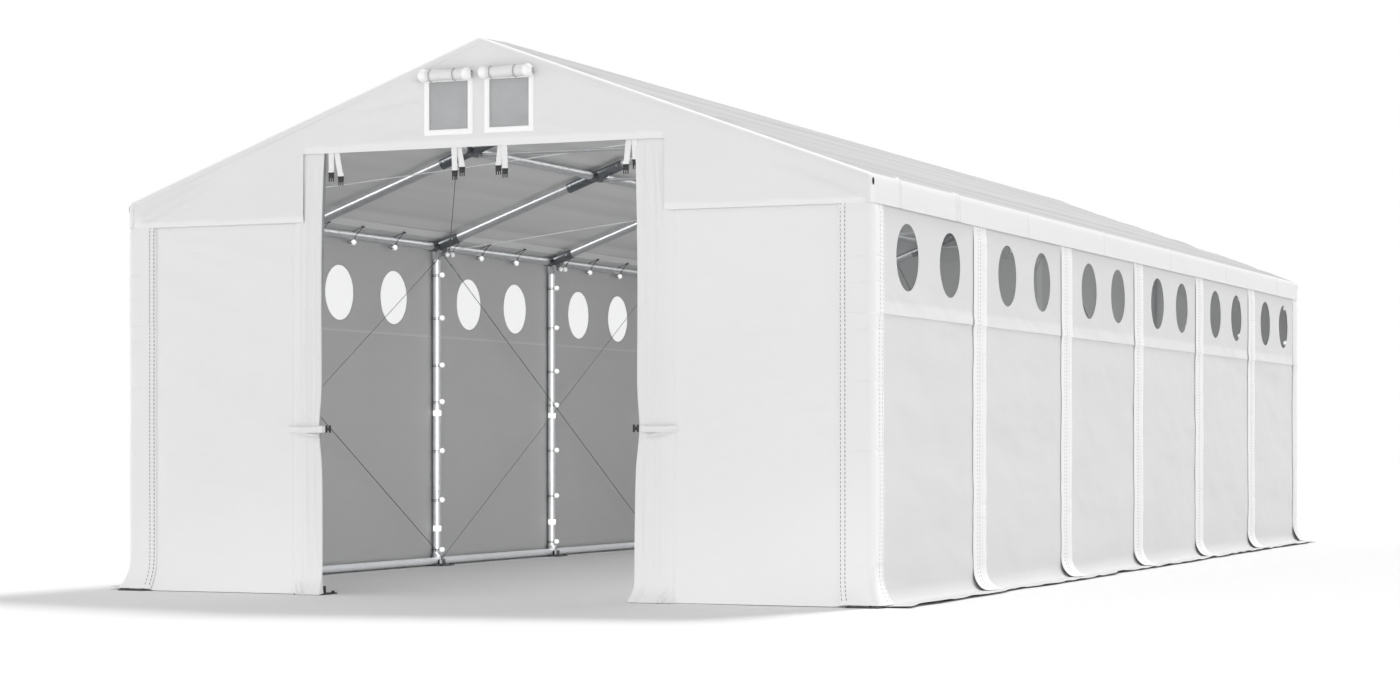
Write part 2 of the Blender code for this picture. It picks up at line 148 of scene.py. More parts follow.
def blendColours(tree, factor, low, high):
    # The first colour where the factor is 0, the second where it is 1
    colours = {"A": linearColour(low), "B": linearColour(high)}
    return addNode(tree, "ShaderNodeMix", colours, {"Factor": factor}, data_type="RGBA").outputs["Result"]


def newMaterial(name, **values):
    # A material with its tree, its shader and the object's own coordinates
    made = bpy.data.materials.new(name)
    made.use_nodes = True
    shader = made.node_tree.nodes["Principled BSDF"]
    for socket, value in values.items():
        shader.inputs[socket].default_value = value
    return made, made.node_tree, addNode(made.node_tree, "ShaderNodeTexCoord").outputs["Object"]


def linkShader(made, **links):
    # Links the named sockets of the material's shader and gives the material back
    shader = made.node_tree.nodes["Principled BSDF"]
    for socket, source in links.items():
        made.node_tree.links.new(source, shader.inputs[socket.replace("_", " ")])
    return made


# PVC-coated polyester, calendered: smooth and half matt, with a faint cloth grain under the coating.
# Sewn double layers let less light through, so they look whiter. The same white is painted light on the
# roof's stripes and, in part, on its valance.
tarpaulinLook = {
    "single": "#DADADA",
    "singleShade": "#D4D4D4",
    "litAndDoubledWhite": "#EEEEEE",
    "roughness": 0.52,
    "refraction": 1.5,
    "grain": 0.009,          # the real threads are 1 mm apart, drawn at 9 mm so that they show
    "waveLength": 0.314,     # the wave node's own length at scale 1
    "wander": 1.5,
    "grainDepth": 0.05,
    "foldDepth": 0.16,       # faint long creases, drawn out sideways
    "cloudScale": 0.9,
}


def makeTarpaulin(name, look):
    # The grain is two crossed waves along the cloth's own coordinates, and a drawn-out noise gives creases.
    # The shade follows a broad noise. The doubled attribute blends it to the sewn layers' white, which on the
    # roof also paints light in stripes and on the valance.
    made, tree, place = newMaterial(name, Roughness=look["roughness"], IOR=look["refraction"])
    cloth = addNode(tree, "ShaderNodeUVMap", uv_map="cloth").outputs["UV"]
    weave = {"Scale": look["waveLength"] / look["grain"], "Distortion": look["wander"]}
    threads = [
        addNode(tree, "ShaderNodeTexWave", weave, {"Vector": cloth}, bands_direction=way).outputs["Fac"]
        for way in "XY"
    ]
    grain = addNode(tree, "ShaderNodeMath", None, dict(enumerate(threads)), operation="MULTIPLY")
    drawn = addNode(tree, "ShaderNodeMapping", {"Scale": (1.0, 1.0, 4.5)}, {"Vector": place})
    soft = addNoise(tree, drawn.outputs["Vector"], 1.5, 1.5, 0.3)
    fine = addBump(tree, look["grainDepth"], 0.002, Height=grain.outputs[0])
    folded = addBump(tree, look["foldDepth"], 0.03, Height=soft, Normal=fine)
    cloud = addNoise(tree, place, look["cloudScale"], 3.0)
    single = blendColours(tree, cloud, look["singleShade"], look["single"])
    doubled = addNode(tree, "ShaderNodeAttribute", attribute_name="doubled")
    colour = addNode(
        tree, "ShaderNodeMix", {"B": linearColour(look["litAndDoubledWhite"])},
        {"Factor": doubled.outputs["Fac"], "A": single}, data_type="RGBA",
    )
    return linkShader(made, Base_Color=colour.outputs["Result"], Normal=folded)


# Zinc and wire: pale and dark shade, size of the spangle, lowest and highest roughness, metallic
zincLooks = {
    # hot-dip galvanised steel with a zinc patina: half matt and pale, with a faint spangle
    "galvanisedSteel": ("#BCBEC0", "#B2B4B6", 0.016, 0.40, 0.45, 0.6),
    # the connectors: the same galvanised steel painted darker, as shade at the joints, with the same spangle
    "connectorSteel": ("#74777A", "#64686B", 0.022, 0.38, 0.46, 0.8),
    # wire rope: one steel wire in three copies, painted in shade, painted dim and painted lit; the spangle
    # stands for its strands
    "wireRope": ("#6E7173", "#4A4D4F", 0.01, 0.4, 0.6, 0.7),
    "dullWireRope": ("#8C8F91", "#7A7C7E", 0.01, 0.5, 0.7, 0.3),
    "brightWireRope": ("#F0F1F2", "#DDDFE0", 0.01, 0.5, 0.7, 0.2),
}


def makeZincSteel(name, pale, dark, spangle, low, high, metal):
    # Cells of a Voronoi pattern: one channel of their random colour sets the shade, another the roughness
    made, tree, place = newMaterial(name, Metallic=metal)
    cells = addNode(tree, "ShaderNodeTexVoronoi", {"Scale": 1 / spangle}, {"Vector": place})
    value = addNode(tree, "ShaderNodeSeparateColor", None, {"Color": cells.outputs["Color"]})
    shine = addNode(tree, "ShaderNodeMapRange", {"To Min": low, "To Max": high}, {"Value": value.outputs[1]})
    scuffs = addBump(tree, 0.006, 0.002, Height=addNoise(tree, place, 35.0, 5.0))
    colour = blendColours(tree, value.outputs[0], dark, pale)
    return linkShader(made, Base_Color=colour, Roughness=shine.outputs["Result"], Normal=scuffs)


# Each coat: its two shades, roughness, the size of its fine relief in metres and its depth, and metallic
coatLooks = {
    "blackPowderCoat": ("#232426", "#303133", 0.48, 0.006, 0.10, 0.0),     # orange peel of a sprayed coat
    "mouldedNylon": ("#1C1D1F", "#2A2B2D", 0.42, 0.003, 0.05, 0.0),        # buckles, with a fine grain
    "mouldedWhitePlastic": ("#CFCFCF", "#D8D8D8", 0.40, 0.01, 0.03, 0.0),  # bungee balls, smooth
    "polyesterWebbing": ("#DADADA", "#E3E3E3", 0.75, 0.005, 0.25, 0.0),    # woven strap, coarse and matt
    "sewingThread": ("#66686A", "#7A7C7E", 0.7, 0.003, 0.1, 0.0),          # bonded polyester thread
    "paleThread": ("#AFB1B2", "#BDBFC0", 0.7, 0.003, 0.1, 0.0),            # the same thread in pale grey
    "greyTape": ("#8E9091", "#A0A2A3", 0.7, 0.003, 0.1, 0.0),              # woven tie round the vent rolls
    "elasticCord": ("#2C2D2F", "#46484A", 0.7, 0.004, 0.2, 0.0),           # braided sleeve over rubber
    "blankLabel": ("#F4F4F3", "#FBFBFA", 0.4, 0.02, 0.02, 0.0),            # film label left blank
    "zincBolt": ("#A9ACAE", "#C9CBCD", 0.3, 0.004, 0.05, 1.0),             # bright zinc-plated screw
    "wovenNet": ("#B0B1B2", "#C2C3C4", 0.8, 0.008, 0.2, 0.0),              # polyester insect net
    "studioFloor": ("#E6E6E6", "#E8E8E8", 0.9, 0.4, 0.0, 0.0),
}


def makeCoat(name, dark, pale, roughness, grain, depth, metal):
    # A cloudy shade over a fine relief
    made, tree, place = newMaterial(name, Roughness=roughness, Metallic=metal)
    colour = blendColours(tree, addNoise(tree, place, 9.0, 4.0), dark, pale)
    relief = addBump(tree, depth, 0.002, Height=addNoise(tree, place, 1 / grain, 2.0))
    return linkShader(made, Base_Color=colour, Normal=relief)


def makeClearFilm(name):
    # Clear PVC film, cast: glossy and a little smoky, with a faint ripple
    made, tree, place = newMaterial(name, Roughness=0.08, IOR=1.53, Alpha=0.08)
    ripple = addNoise(tree, place, 5.0, 1.0)
    tint = blendColours(tree, ripple, "#8D9295", "#A0A5A8")
    return linkShader(made, Base_Color=tint, Normal=addBump(tree, 0.1, 0.01, Height=ripple))


coats = {name: makeCoat(name, *look) for name, look in coatLooks.items()}
coats.update({name: makeZincSteel(name, *look) for name, look in zincLooks.items()})
coats["clearFilm"] = makeClearFilm("clearFilm")
coats["tarpaulin"] = makeTarpaulin("coatedTarpaulin", tarpaulinLook)
# The roof's cloth is the walls' white cloth painted greyer: painted shade on the slopes
roofPaintedShades = {"single": "#A3A3A3", "singleShade": "#9B9B9B", "litAndDoubledWhite": "#E4E4E4"}
coats["roofTarpaulin"] = makeTarpaulin("roofTarpaulin", {**tarpaulinLook, **roofPaintedShades})
# The cover's inner face: the same white cloth painted greyer, as painted shade inside the tent
innerPaintedShades = {"single": "#B9B9B9", "singleShade": "#B3B3B3"}
coats["innerTarpaulin"] = makeTarpaulin("innerTarpaulin", {**tarpaulinLook, **innerPaintedShades})
# The net lets more than half of the light through between its threads
coats["wovenNet"].node_tree.nodes["Principled BSDF"].inputs["Alpha"].default_value = 0.45
print("materials ready,", len(coats))


# Shapes: each is a grid of points worked out as whole arrays

def surface(points, faces, flat=None, doubled=0.0, finish=0):
    # A loose surface: its points, lists of faces with their finish, flat coordinates in metres,
    # and how far it blends to white: doubled cloth, and painted light on the roof
    faces = faces if isinstance(faces, list) else [(faces, finish)]
    flat = points[:, :2] if flat is None else flat
    return {"points": points, "faces": faces, "flat": flat, "doubled": np.broadcast_to(doubled, len(points))}


def gridFaces(rows, columns, wrap=False):
    # Quads between neighbouring points; with wrap the last column joins the first
    index = np.arange(rows * columns).reshape(rows, columns)
    if wrap:
        index = np.hstack([index, index[:, :1]])
    return np.stack([index[:-1, :-1], index[1:, :-1], index[1:, 1:], index[:-1, 1:]], -1).reshape(-1, 4)


def loft(rings, poles=None, finish=0):
    # Rings of points joined in order, closed at both ends by fans of triangles round a middle point
    layers, around = rings.shape[:2]
    poles = rings[[0, -1]].mean(axis=1) if poles is None else np.asarray(poles, float)
    points = np.vstack([rings.reshape(-1, 3), poles])
    first, last = np.arange(around), np.arange(around) + (layers - 1) * around
    low = np.stack([np.full(around, layers * around), first, np.roll(first, -1)], -1)
    high = np.stack([np.full(around, layers * around + 1), np.roll(last, -1), last], -1)
    return surface(points, [(gridFaces(layers, around, True), finish), (low, finish), (high, finish)])


def unit(vectors):
    # Vectors divided by their length
    return vectors / np.maximum(np.linalg.norm(vectors, axis=-1, keepdims=True), 1e-12)


def distances(*coordinates):
    # The length travelled along a line of points, from 0 at the first
    steps = np.linalg.norm([np.diff(values) for values in coordinates], axis=0)
    return np.concatenate([[0], np.cumsum(steps)])


def tube(path, radius, around=20, reference=(0.31, 0.47, 0.83), finish=0):
    # A circle carried along a path; the circle's plane stands square to the path at every point
    path = np.asarray(path, float)
    radius = np.broadcast_to(radius, len(path))
    tangent = unit(np.gradient(path, axis=0))
    sideways = unit(np.cross(tangent, reference))
    upward = np.cross(sideways, tangent)
    turn = np.linspace(0, 2 * math.pi, around, endpoint=False)[:, None]
    circle = np.cos(turn) * sideways[:, None] + np.sin(turn) * upward[:, None]
    return loft(path[:, None] + radius[:, None, None] * circle, finish=finish)


def straightTube(start, end, radius, edge=0.002, around=20, finish=0):
    # A straight tube whose ends are rounded off by the edge size
    start, end = np.asarray(start, float), np.asarray(end, float)
    length = np.linalg.norm(end - start)
    steps = np.array([0, edge * 0.3, edge, length - edge, length - edge * 0.3, length]) / length
    radii = radius - edge * np.array([1, 0.3, 0, 0, 0.3, 1])
    return tube(start + (end - start) * steps[:, None], radii, around, finish=finish)


def ball(centre, radius, around=14, layers=9, axes=((1, 0, 0), (0, 1, 0), (0, 0, 1)), finish=0):
    # Circles whose radius follows the sine of the angle from the pole
    turn = np.linspace(0, -2 * math.pi, around, endpoint=False)
    fall = np.linspace(math.pi, 0, layers + 2)[1:-1, None]
    rings = np.stack([np.sin(fall) * np.cos(turn), np.sin(fall) * np.sin(turn), np.cos(fall) + 0 * turn], -1)
    scale = np.asarray(axes, float) * radius
    return loft(rings @ scale + centre, np.array([[0, 0, -1], [0, 0, 1]]) @ scale + centre, finish)


def roundedBlock(centre, size, corner, axes=((1, 0, 0), (0, 1, 0), (0, 0, 1)), finish=0):
    # A rounded rectangle carried along the third axis, drawn in at both ends by a quarter circle
    halfA, halfB, halfC = np.asarray(size, float) / 2
    axes = np.asarray(axes, float)
    turn = -(np.arange(16) + 0.5) * math.pi / 8
    quarter = np.linspace(0, math.pi / 2, 4)
    shrink = corner * (1 - np.concatenate([np.sin(quarter), np.sin(quarter[::-1])]))
    drawn = corner * (1 - np.cos(quarter))
    height = np.concatenate([-halfC + drawn, halfC - drawn[::-1]])
    reach = (corner - shrink)[:, None]
    a = np.sign(np.cos(turn)) * (halfA - corner) + reach * np.cos(turn)
    b = np.sign(np.sin(turn)) * (halfB - corner) + reach * np.sin(turn)
    rings = a[..., None] * axes[0] + b[..., None] * axes[1] + height[:, None, None] * axes[2]
    return loft(rings + np.asarray(centre, float), finish=finish)


def copies(part, offsets):
    # The same part at every offset, as one surface
    offsets = np.atleast_2d(offsets)
    count = len(part["points"])
    shifts = (np.arange(len(offsets)) * count)[:, None, None]
    return {
        "points": (part["points"] + offsets[:, None]).reshape(-1, 3),
        "faces": [((faces + shifts).reshape(-1, faces.shape[1]), finish) for faces, finish in part["faces"]],
        "flat": np.tile(part["flat"], (len(offsets), 1)),
        "doubled": np.tile(part["doubled"], len(offsets)),
    }


def clothShell(grid, flat, outward, keep=None, corners=None, doubled=0.0, thick=None, inside=1, turned=None):
    # Cloth with real thickness: a second skin one thickness behind the first along the surface's own normal,
    # and a strip between the two wherever the sheet ends. keep drops quads, corners adds triangles.
    thick = tent["clothThick"] if thick is None else thick
    rows, columns = grid.shape[:2]
    normal = unit(np.cross(np.gradient(grid, axis=0), np.gradient(grid, axis=1)).reshape(-1, 3))
    turned = (normal @ np.asarray(outward, float)).sum() < 0 if turned is None else turned
    normal = -normal if turned else normal
    quads = gridFaces(rows, columns)
    quads = quads if keep is None else quads[keep.ravel()]
    sets = [quads] + ([corners] if corners is not None and len(corners) else [])
    sets = [faces[:, ::-1] if turned else faces for faces in sets]
    points = grid.reshape(-1, 3)
    count = len(points)
    edges = np.concatenate([np.stack([f, np.roll(f, -1, axis=1)], -1).reshape(-1, 2) for f in sets])
    keys = np.sort(edges, axis=1) @ np.array([count, 1])
    _, inverse, uses = np.unique(keys, return_inverse=True, return_counts=True)
    rim = edges[uses[inverse] == 1]
    strip = np.stack([rim[:, 1], rim[:, 0], rim[:, 0] + count, rim[:, 1] + count], -1)
    # The second skin's quads are turned round but keep their first corner: both skins bend along one diagonal
    behind = [np.roll(f[:, ::-1], 1, axis=1) + count for f in sets]
    faces = [(f, 0) for f in sets] + [(f, inside) for f in behind] + [(strip, 0)]
    doubled = np.tile(np.broadcast_to(doubled, grid.shape[:2]).ravel(), 2)
    points = np.vstack([points, points - normal * thick])
    return withoutLoosePoints(surface(points, faces, np.tile(flat.reshape(-1, 2), (2, 1)), doubled))


def withoutLoosePoints(part):
    # The same surface without the points that no face uses
    used = np.unique(np.concatenate([faces.ravel() for faces, finish in part["faces"]]))
    place = np.zeros(len(part["points"]), int)
    place[used] = np.arange(len(used))
    kept = {name: part[name][used] for name in ("points", "flat", "doubled")}
    return {**kept, "faces": [(place[faces], finish) for faces, finish in part["faces"]]}


def makePiece(name, parts, finishes, replaced=(), sharp=40):
    # One mesh from several surfaces: their points are stacked, each face list moved on by the points before
    starts = np.cumsum([0] + [len(part["points"]) for part in parts])
    sets = [(faces + start, finish) for part, start in zip(parts, starts) for faces, finish in part["faces"]]
    points, flat, doubled = (
        np.concatenate([part[key] for part in parts]) for key in ("points", "flat", "doubled")
    )
    corners = np.concatenate([faces.ravel() for faces, finish in sets])
    sizes = np.concatenate([np.full(len(faces), faces.shape[1]) for faces, finish in sets])
    kinds = np.concatenate([np.full(len(faces), finish) for faces, finish in sets])
    mesh = bpy.data.meshes.new(name)
    mesh.vertices.add(len(points))
    mesh.vertices.foreach_set("co", points.astype(np.float32).ravel())
    mesh.loops.add(len(corners))
    mesh.loops.foreach_set("vertex_index", corners.astype(np.int32))
    mesh.polygons.add(len(sizes))
    mesh.polygons.foreach_set("loop_start", np.concatenate([[0], np.cumsum(sizes)[:-1]]).astype(np.int32))
    mesh.polygons.foreach_set("material_index", kinds.astype(np.int32))
    mesh.uv_layers.new(name="cloth").data.foreach_set("uv", flat[corners].astype(np.float32).ravel())
    mesh.attributes.new("doubled", "FLOAT", "POINT").data.foreach_set("value", doubled.astype(np.float32))
    mesh.update(calc_edges=True)
    mesh.validate()
    mesh.shade_smooth()
    mesh.set_sharp_from_angle(angle=math.radians(sharp))
    for finish in finishes:
        mesh.materials.append(coats[finish])
    piece = bpy.data.objects.new(name, mesh)
    bpy.context.scene.collection.objects.link(piece)
    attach(piece, "root")
    if replaced:
        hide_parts(*replaced)
    return piece


# the backs of lined sheets take the inner face's painted shade
lined = ("tarpaulin", "innerTarpaulin")


def makeSheet(name, grid, flat, outward, size, held, restsOn, finishes=lined, node=None, extra=(), **options):
    # A sheet of cloth as one piece, whose back has the second finish if there are two
    stated = {"area": options.pop("area")} if "area" in options else {}
    sharp = options.pop("sharp", 40)
    part = clothShell(grid, flat, outward, inside=len(finishes) - 1, **options)
    piece = makePiece(name, [part, *extra], finishes, [node] if node else (), sharp)


def finishNode(node, coat):
    # A CAD node whose shape is right keeps its mesh and gets a better material
    mesh = frame["nodes"][node].data
    mesh.materials.clear()
    mesh.materials.append(coats[coat])


# Folds in cloth

def softNoise(u, v, seed):
    # Random heights on a lattice of whole numbers, joined by a smooth step between neighbours
    lattice = np.random.default_rng(seed).random((64, 64)) * 2 - 1
    wholeU, wholeV = np.floor(u).astype(int), np.floor(v).astype(int)
    partU, partV = u - wholeU, v - wholeV
    partU, partV = partU ** 2 * (3 - 2 * partU), partV ** 2 * (3 - 2 * partV)
    left, right, bottom, top = wholeU % 64, (wholeU + 1) % 64, wholeV % 64, (wholeV + 1) % 64
    low = lattice[left, bottom] * (1 - partU) + lattice[right, bottom] * partU
    high = lattice[left, top] * (1 - partU) + lattice[right, top] * partU
    return low * (1 - partV) + high * partV


def slackFolds(along, across, seed, lengths, depth):
    # Broad swells plus thinner creases, both drawn out along the first coordinate
    swell = softNoise(along / lengths[0], across / lengths[1], seed)
    bent = across + 0.35 * lengths[1] * swell
    crease = 1 - 2 * np.abs(softNoise(along / lengths[0] * 1.7, bent / lengths[1] * 2.1, seed + 1))
    return depth * (0.6 * swell + 0.4 * crease)


def pullFolds(u, v, folds):
    # Each row is one fold under tension: start, end, width and height. It is a bell across its line
    # that fades along it.
    total = np.zeros(np.broadcast(u, v).shape)
    for startU, startV, endU, endV, width, height in folds:
        alongU, alongV = endU - startU, endV - startV
        length = math.hypot(alongU, alongV)
        along = ((u - startU) * alongU + (v - startV) * alongV) / length ** 2
        across = ((u - startU) * alongV - (v - startV) * alongU) / length
        fade = np.clip(along * 5 + 0.6, 0, 1) * np.clip((1 - along) * 1.5, 0, 1)
        total += height * bell(across, 0, width) * fade ** 2 * (3 - 2 * fade)
    return total


def ease(value, low, high):
    # 0 below low, 1 above high, and a smooth step between
    step = np.clip((value - low) / (high - low), 0, 1)
    return step ** 2 * (3 - 2 * step)


def bell(value, middle, width):
    # 1 at the middle and 1/e at one width from it, on both sides
    return np.exp(-((value - middle) / width) ** 2)


def nearArch(y, reach):
    # 1 at an arch, falling to 0 at the reach
    gap = np.abs(np.asarray(y)[..., None] - tent["archY"]).min(axis=-1)
    return 1 - ease(gap, 0, reach)


def spread(*stops):
    # Numbers from stop to stop: each stop is (value, steps that lead to it)
    values = [np.array([stops[0][0]])]
    for (low, _), (high, steps) in zip(stops, stops[1:]):
        values.append(np.linspace(low, high, steps + 1)[1:])
    return np.concatenate(values)


# Roof cover

coverShape = {
    "ridgeRound": 0.06,
    "eaveRound": 0.05,
    "edgeRound": 0.03,       # the cover turns down over the gable with this radius
    "lip": 0.018,            # width of the edge's hem on the gable
    "creases": (-5.56, -4.50, -4.44, -2.95, -1.01, 0.99, 2.98, 5.06),
    "creaseHeights": (0.011, 0.009, 0.008, 0.005, 0.005, 0.005, 0.005, 0.005),
    "creaseWidth": 0.020,
    "creaseLean": 0.03,
    "railPitch": 1.203,      # from rail to rail along the slope
    "ripple": 0.0055,
    "sag": 0.006,
    "streak": 0.0035,        # long waves that run along the eaves
    "paintedStripes": 0.14,         # and how much painted light and shade they add to the cloth's colour in bands
    "flutter": 0.0025,       # waves of the valance's hem
    "shadeLens": (0.0085, 0.0022, 0.0225),    # half sizes of the dark lenses painted as the shade in the slots under the eaves' ends
    "slotZ": 2.441,
}


def roofSection(slopeSteps=64, hangSteps=7):
    # Half of the section from the ridge out: an arc, the slope, an arc round the eave and the valance.
    # The angle from upright gives the outward normal.
    ridgeRound, eaveRound = coverShape["ridgeRound"], coverShape["eaveRound"]
    cosine = math.cos(roofAngle)
    eaveX = tent["coverX"] - eaveRound
    eaveZ = tent["ridgeTop"] - tent["slope"] * eaveX - eaveRound / cosine
    ridgeZ = tent["ridgeTop"] - ridgeRound / cosine
    ridgeTurn = np.linspace(0, roofAngle, 6)
    eaveTurn = np.linspace(roofAngle, math.pi / 2, 9)
    ridge = np.stack([ridgeRound * np.sin(ridgeTurn), ridgeZ + ridgeRound * np.cos(ridgeTurn)], -1)
    eave = np.stack([eaveX + eaveRound * np.sin(eaveTurn), eaveZ + eaveRound * np.cos(eaveTurn)], -1)
    share = np.linspace(0, 1, slopeSteps + 1)[1:-1, None]
    slope = ridge[-1] + (eave[0] - ridge[-1]) * share
    down = np.linspace(eaveZ, tent["valanceBottom"], hangSteps + 1)[1:]
    hang = np.stack([np.full(hangSteps, tent["coverX"]), down], -1)
    turn = [ridgeTurn, np.full(len(slope), roofAngle), eaveTurn, np.full(hangSteps, math.pi / 2)]
    return np.vstack([ridge, slope, eave, hang]), np.concatenate(turn)


def wholeSection():
    # The section from hem to hem: places, outward normals and lengths along it, counted from the ridge
    half, turn = roofSection()
    places = np.vstack([half[:0:-1] * (-1, 1), half])
    normals = np.stack([np.sin(turn), np.cos(turn)], -1)
    normals = np.vstack([normals[:0:-1] * (-1, 1), normals])
    lengths = distances(*places.T)
    return places, normals, lengths - lengths[len(half) - 1]


def roofLift(s, height, y):
    # How far the cover stands off its section, s being the length from the ridge along it: ripples of three
    # lengths, less the sag in the middle of each field, plus the creases over the eave
    onSlope = ease(height, 2.46, 2.60) * ease(np.abs(s), 0.0, 0.12)
    inBay = np.sin(math.pi * np.clip((y + 6) / tent["bay"] % 1, 0, 1)) ** 2
    betweenRails = np.sin(math.pi * np.clip(np.abs(s) / coverShape["railPitch"] % 1, 0, 1)) ** 2
    lift = coverShape["ripple"] * (1 + softNoise(s / 0.17 + 31, y / 3.0 + 17, 4))
    lift += coverShape["ripple"] * 0.5 * (1 + softNoise(s / 0.08 + 5, y / 2.2 + 3, 5))
    lift += coverShape["streak"] * (1 + softNoise(s / 0.115 + 41, y / 6.0 + 23, 9))
    lift = (lift - coverShape["sag"] * inBay * betweenRails) * onSlope
    lean = coverShape["creaseLean"] * (height - 2.4)
    for place, tall in zip(coverShape["creases"], coverShape["creaseHeights"]):
        lift += tall * bell(y - place, lean, coverShape["creaseWidth"]) * ease(np.abs(s), 2.45, 2.68)
    return lift


def makeRoofCover():
    # The lift moves every point of the section along its normal; near both gables it fades out
    places, normals, along = wholeSection()
    edge = tent["gableY"] - coverShape["edgeRound"]
    fine = (np.array(coverShape["creases"])[:, None] + np.linspace(-0.07, 0.07, 15)).ravel()
    y = np.unique(np.round(np.concatenate([np.linspace(-edge, edge, 190), fine]), 4))
    s, y = np.meshgrid(along, y, indexing="ij")
    height = places[:, 1][:, None]
    hanging = 1 - ease(height, 2.483, 2.498)
    lift = roofLift(s, height, y)
    flutter = coverShape["flutter"] * (1 + softNoise(y / 0.35 + 9, s * 3, 6))
    lift += hanging * flutter * ease(2.46 - height, 0, 0.12)
    lift *= 1 - ease(np.abs(y), edge - 0.12, edge)
    grid = np.stack([places[:, :1] + normals[:, :1] * lift, y, places[:, 1:] + normals[:, 1:] * lift], -1)
    # Painted light and shade: bands along the eaves that stand for the ripples' shading, blended in towards
    # the cloth's white
    paintedStripes = 1 + softNoise(s / 0.075 + 3, y / 9.0 + 2, 12)
    paintedStripes = coverShape["paintedStripes"] * paintedStripes * ease(np.abs(s), 0.05, 0.15)
    # The valance blends to the doubled white, partly for its real double layer and partly as painted light
    makeSheet(
        "roof_cover_sheet", grid, np.stack([y, s], -1), (0, 0, 1), (2 * along[-1], 2 * edge), "stretched",
        ["roof_tubes_left", "roof_tubes_right", "ridge_tube"], ("roofTarpaulin", "innerTarpaulin"),
        "roof_cover", doubled=np.maximum(hanging, paintedStripes) + 0 * y,
    )


def makeGableEdge(end, way):
    # The cover's end: the section moved inwards along its normal while it turns down by a quarter circle,
    # then a hem
    places, normals, along = wholeSection()
    radius = coverShape["edgeRound"]
    turn = np.linspace(0, math.pi / 2, 8)
    hem = radius + coverShape["lip"] * np.array([0.3, 0.6, 1.0])
    inset = np.concatenate([radius * (1 - np.cos(turn)), hem])
    ahead = np.concatenate([radius * np.sin(turn), radius + np.array([0.0012, 0.0018, 0.0016])])
    x = places[:, :1] - normals[:, :1] * inset
    z = places[:, 1:] - normals[:, 1:] * inset
    y = way * (tent["gableY"] - radius + ahead) + 0 * x
    reach = distances(inset, ahead)
    fade = 1 - ease(inset, 0.2 * radius, 0.8 * radius)[None] + 0 * x
    # Painted shade: a flat dark lens on the rounded corner under each eave, for the shade in the slot where a
    # guy strap can be led out
    paintedSlotShades = []
    wide, deep, tall = coverShape["shadeLens"]
    for side in (-1, 1):
        out = np.array([side * 0.866, way * 0.5, 0.0])
        across = np.array([-side * 0.5, way * 0.866, 0.0]) * side * way
        corner = (side * (tent["coverX"] - radius), way * (tent["gableY"] - radius), coverShape["slotZ"])
        axes = (across * wide, out * deep, (0, 0, tall))
        paintedSlotShades.append(ball(np.array(corner) + out * radius, 1.0, 18, 9, axes, 1))
    makeSheet(
        f"roof_edge_{end}", np.stack([x, y, z], -1), np.stack([along[:, None] + 0 * x, reach + 0 * x], -1),
        (0, way, 0.3), (2 * along[-1], float(reach[-1])), "stretched", ["roof_cover_sheet"],
        ("tarpaulin", "mouldedNylon"), extra=paintedSlotShades, doubled=fade,
    )


makeRoofCover()
for end, way in endSigns.items():
    makeGableEdge(end, way)
print("roof cover ready")


# Gable headers, with the vents

headerShape = {
    "inset": 0.024,          # the header ends under the cover's edge
    "ventInner": 0.074,
    "ventOuter": 0.339,
    "ventBottom": 2.854,
    "ventTop": 3.145,
    "slack": 0.0070,
    "rows": (16, 6, 17, 10),     # below the lintel, then below, beside and above the vents
    # x, z of the start, x, z of the end, width and height of the folds that the photo shows
    "folds": (
        (-2.45, 2.33, -1.75, 2.66, 0.030, 0.0160),
        (-2.47, 2.36, -1.50, 2.82, 0.045, 0.0160),
        (-2.30, 2.33, -1.90, 2.50, 0.025, 0.0108),
        (-0.42, 2.84, -0.85, 2.76, 0.022, 0.0135),
        (-0.38, 2.82, -0.62, 2.745, 0.018, 0.0135),
        (-0.40, 3.02, -0.95, 2.93, 0.026, 0.0135),
        (-0.40, 3.16, -0.62, 3.02, 0.030, 0.0150),
        (-0.36, 3.13, -0.58, 3.19, 0.022, 0.0120),
        (0.40, 2.88, 0.85, 2.76, 0.030, 0.0070),
        (0.36, 2.82, 0.62, 2.745, 0.018, 0.0060),
        (0.00, 3.10, 0.06, 2.80, 0.016, 0.0108),
        (2.46, 2.34, 1.70, 2.62, 0.035, 0.0108),
    ),
}


def headerTop(x):
    # The inset section's height above x: the slope, and the arc round the eave
    inset, eaveRound = headerShape["inset"], coverShape["eaveRound"]
    cosine = math.cos(roofAngle)
    eaveX = tent["coverX"] - eaveRound
    eaveZ = tent["ridgeTop"] - tent["slope"] * eaveX - eaveRound / cosine
    rest = eaveRound - inset
    straight = tent["ridgeTop"] - tent["slope"] * np.abs(x) - inset / cosine
    arc = eaveZ + np.sqrt(np.maximum(rest ** 2 - np.maximum(np.abs(x) - eaveX, 0) ** 2, 0))
    return np.where(np.abs(x) > eaveX + rest * math.sin(roofAngle), arc, straight)


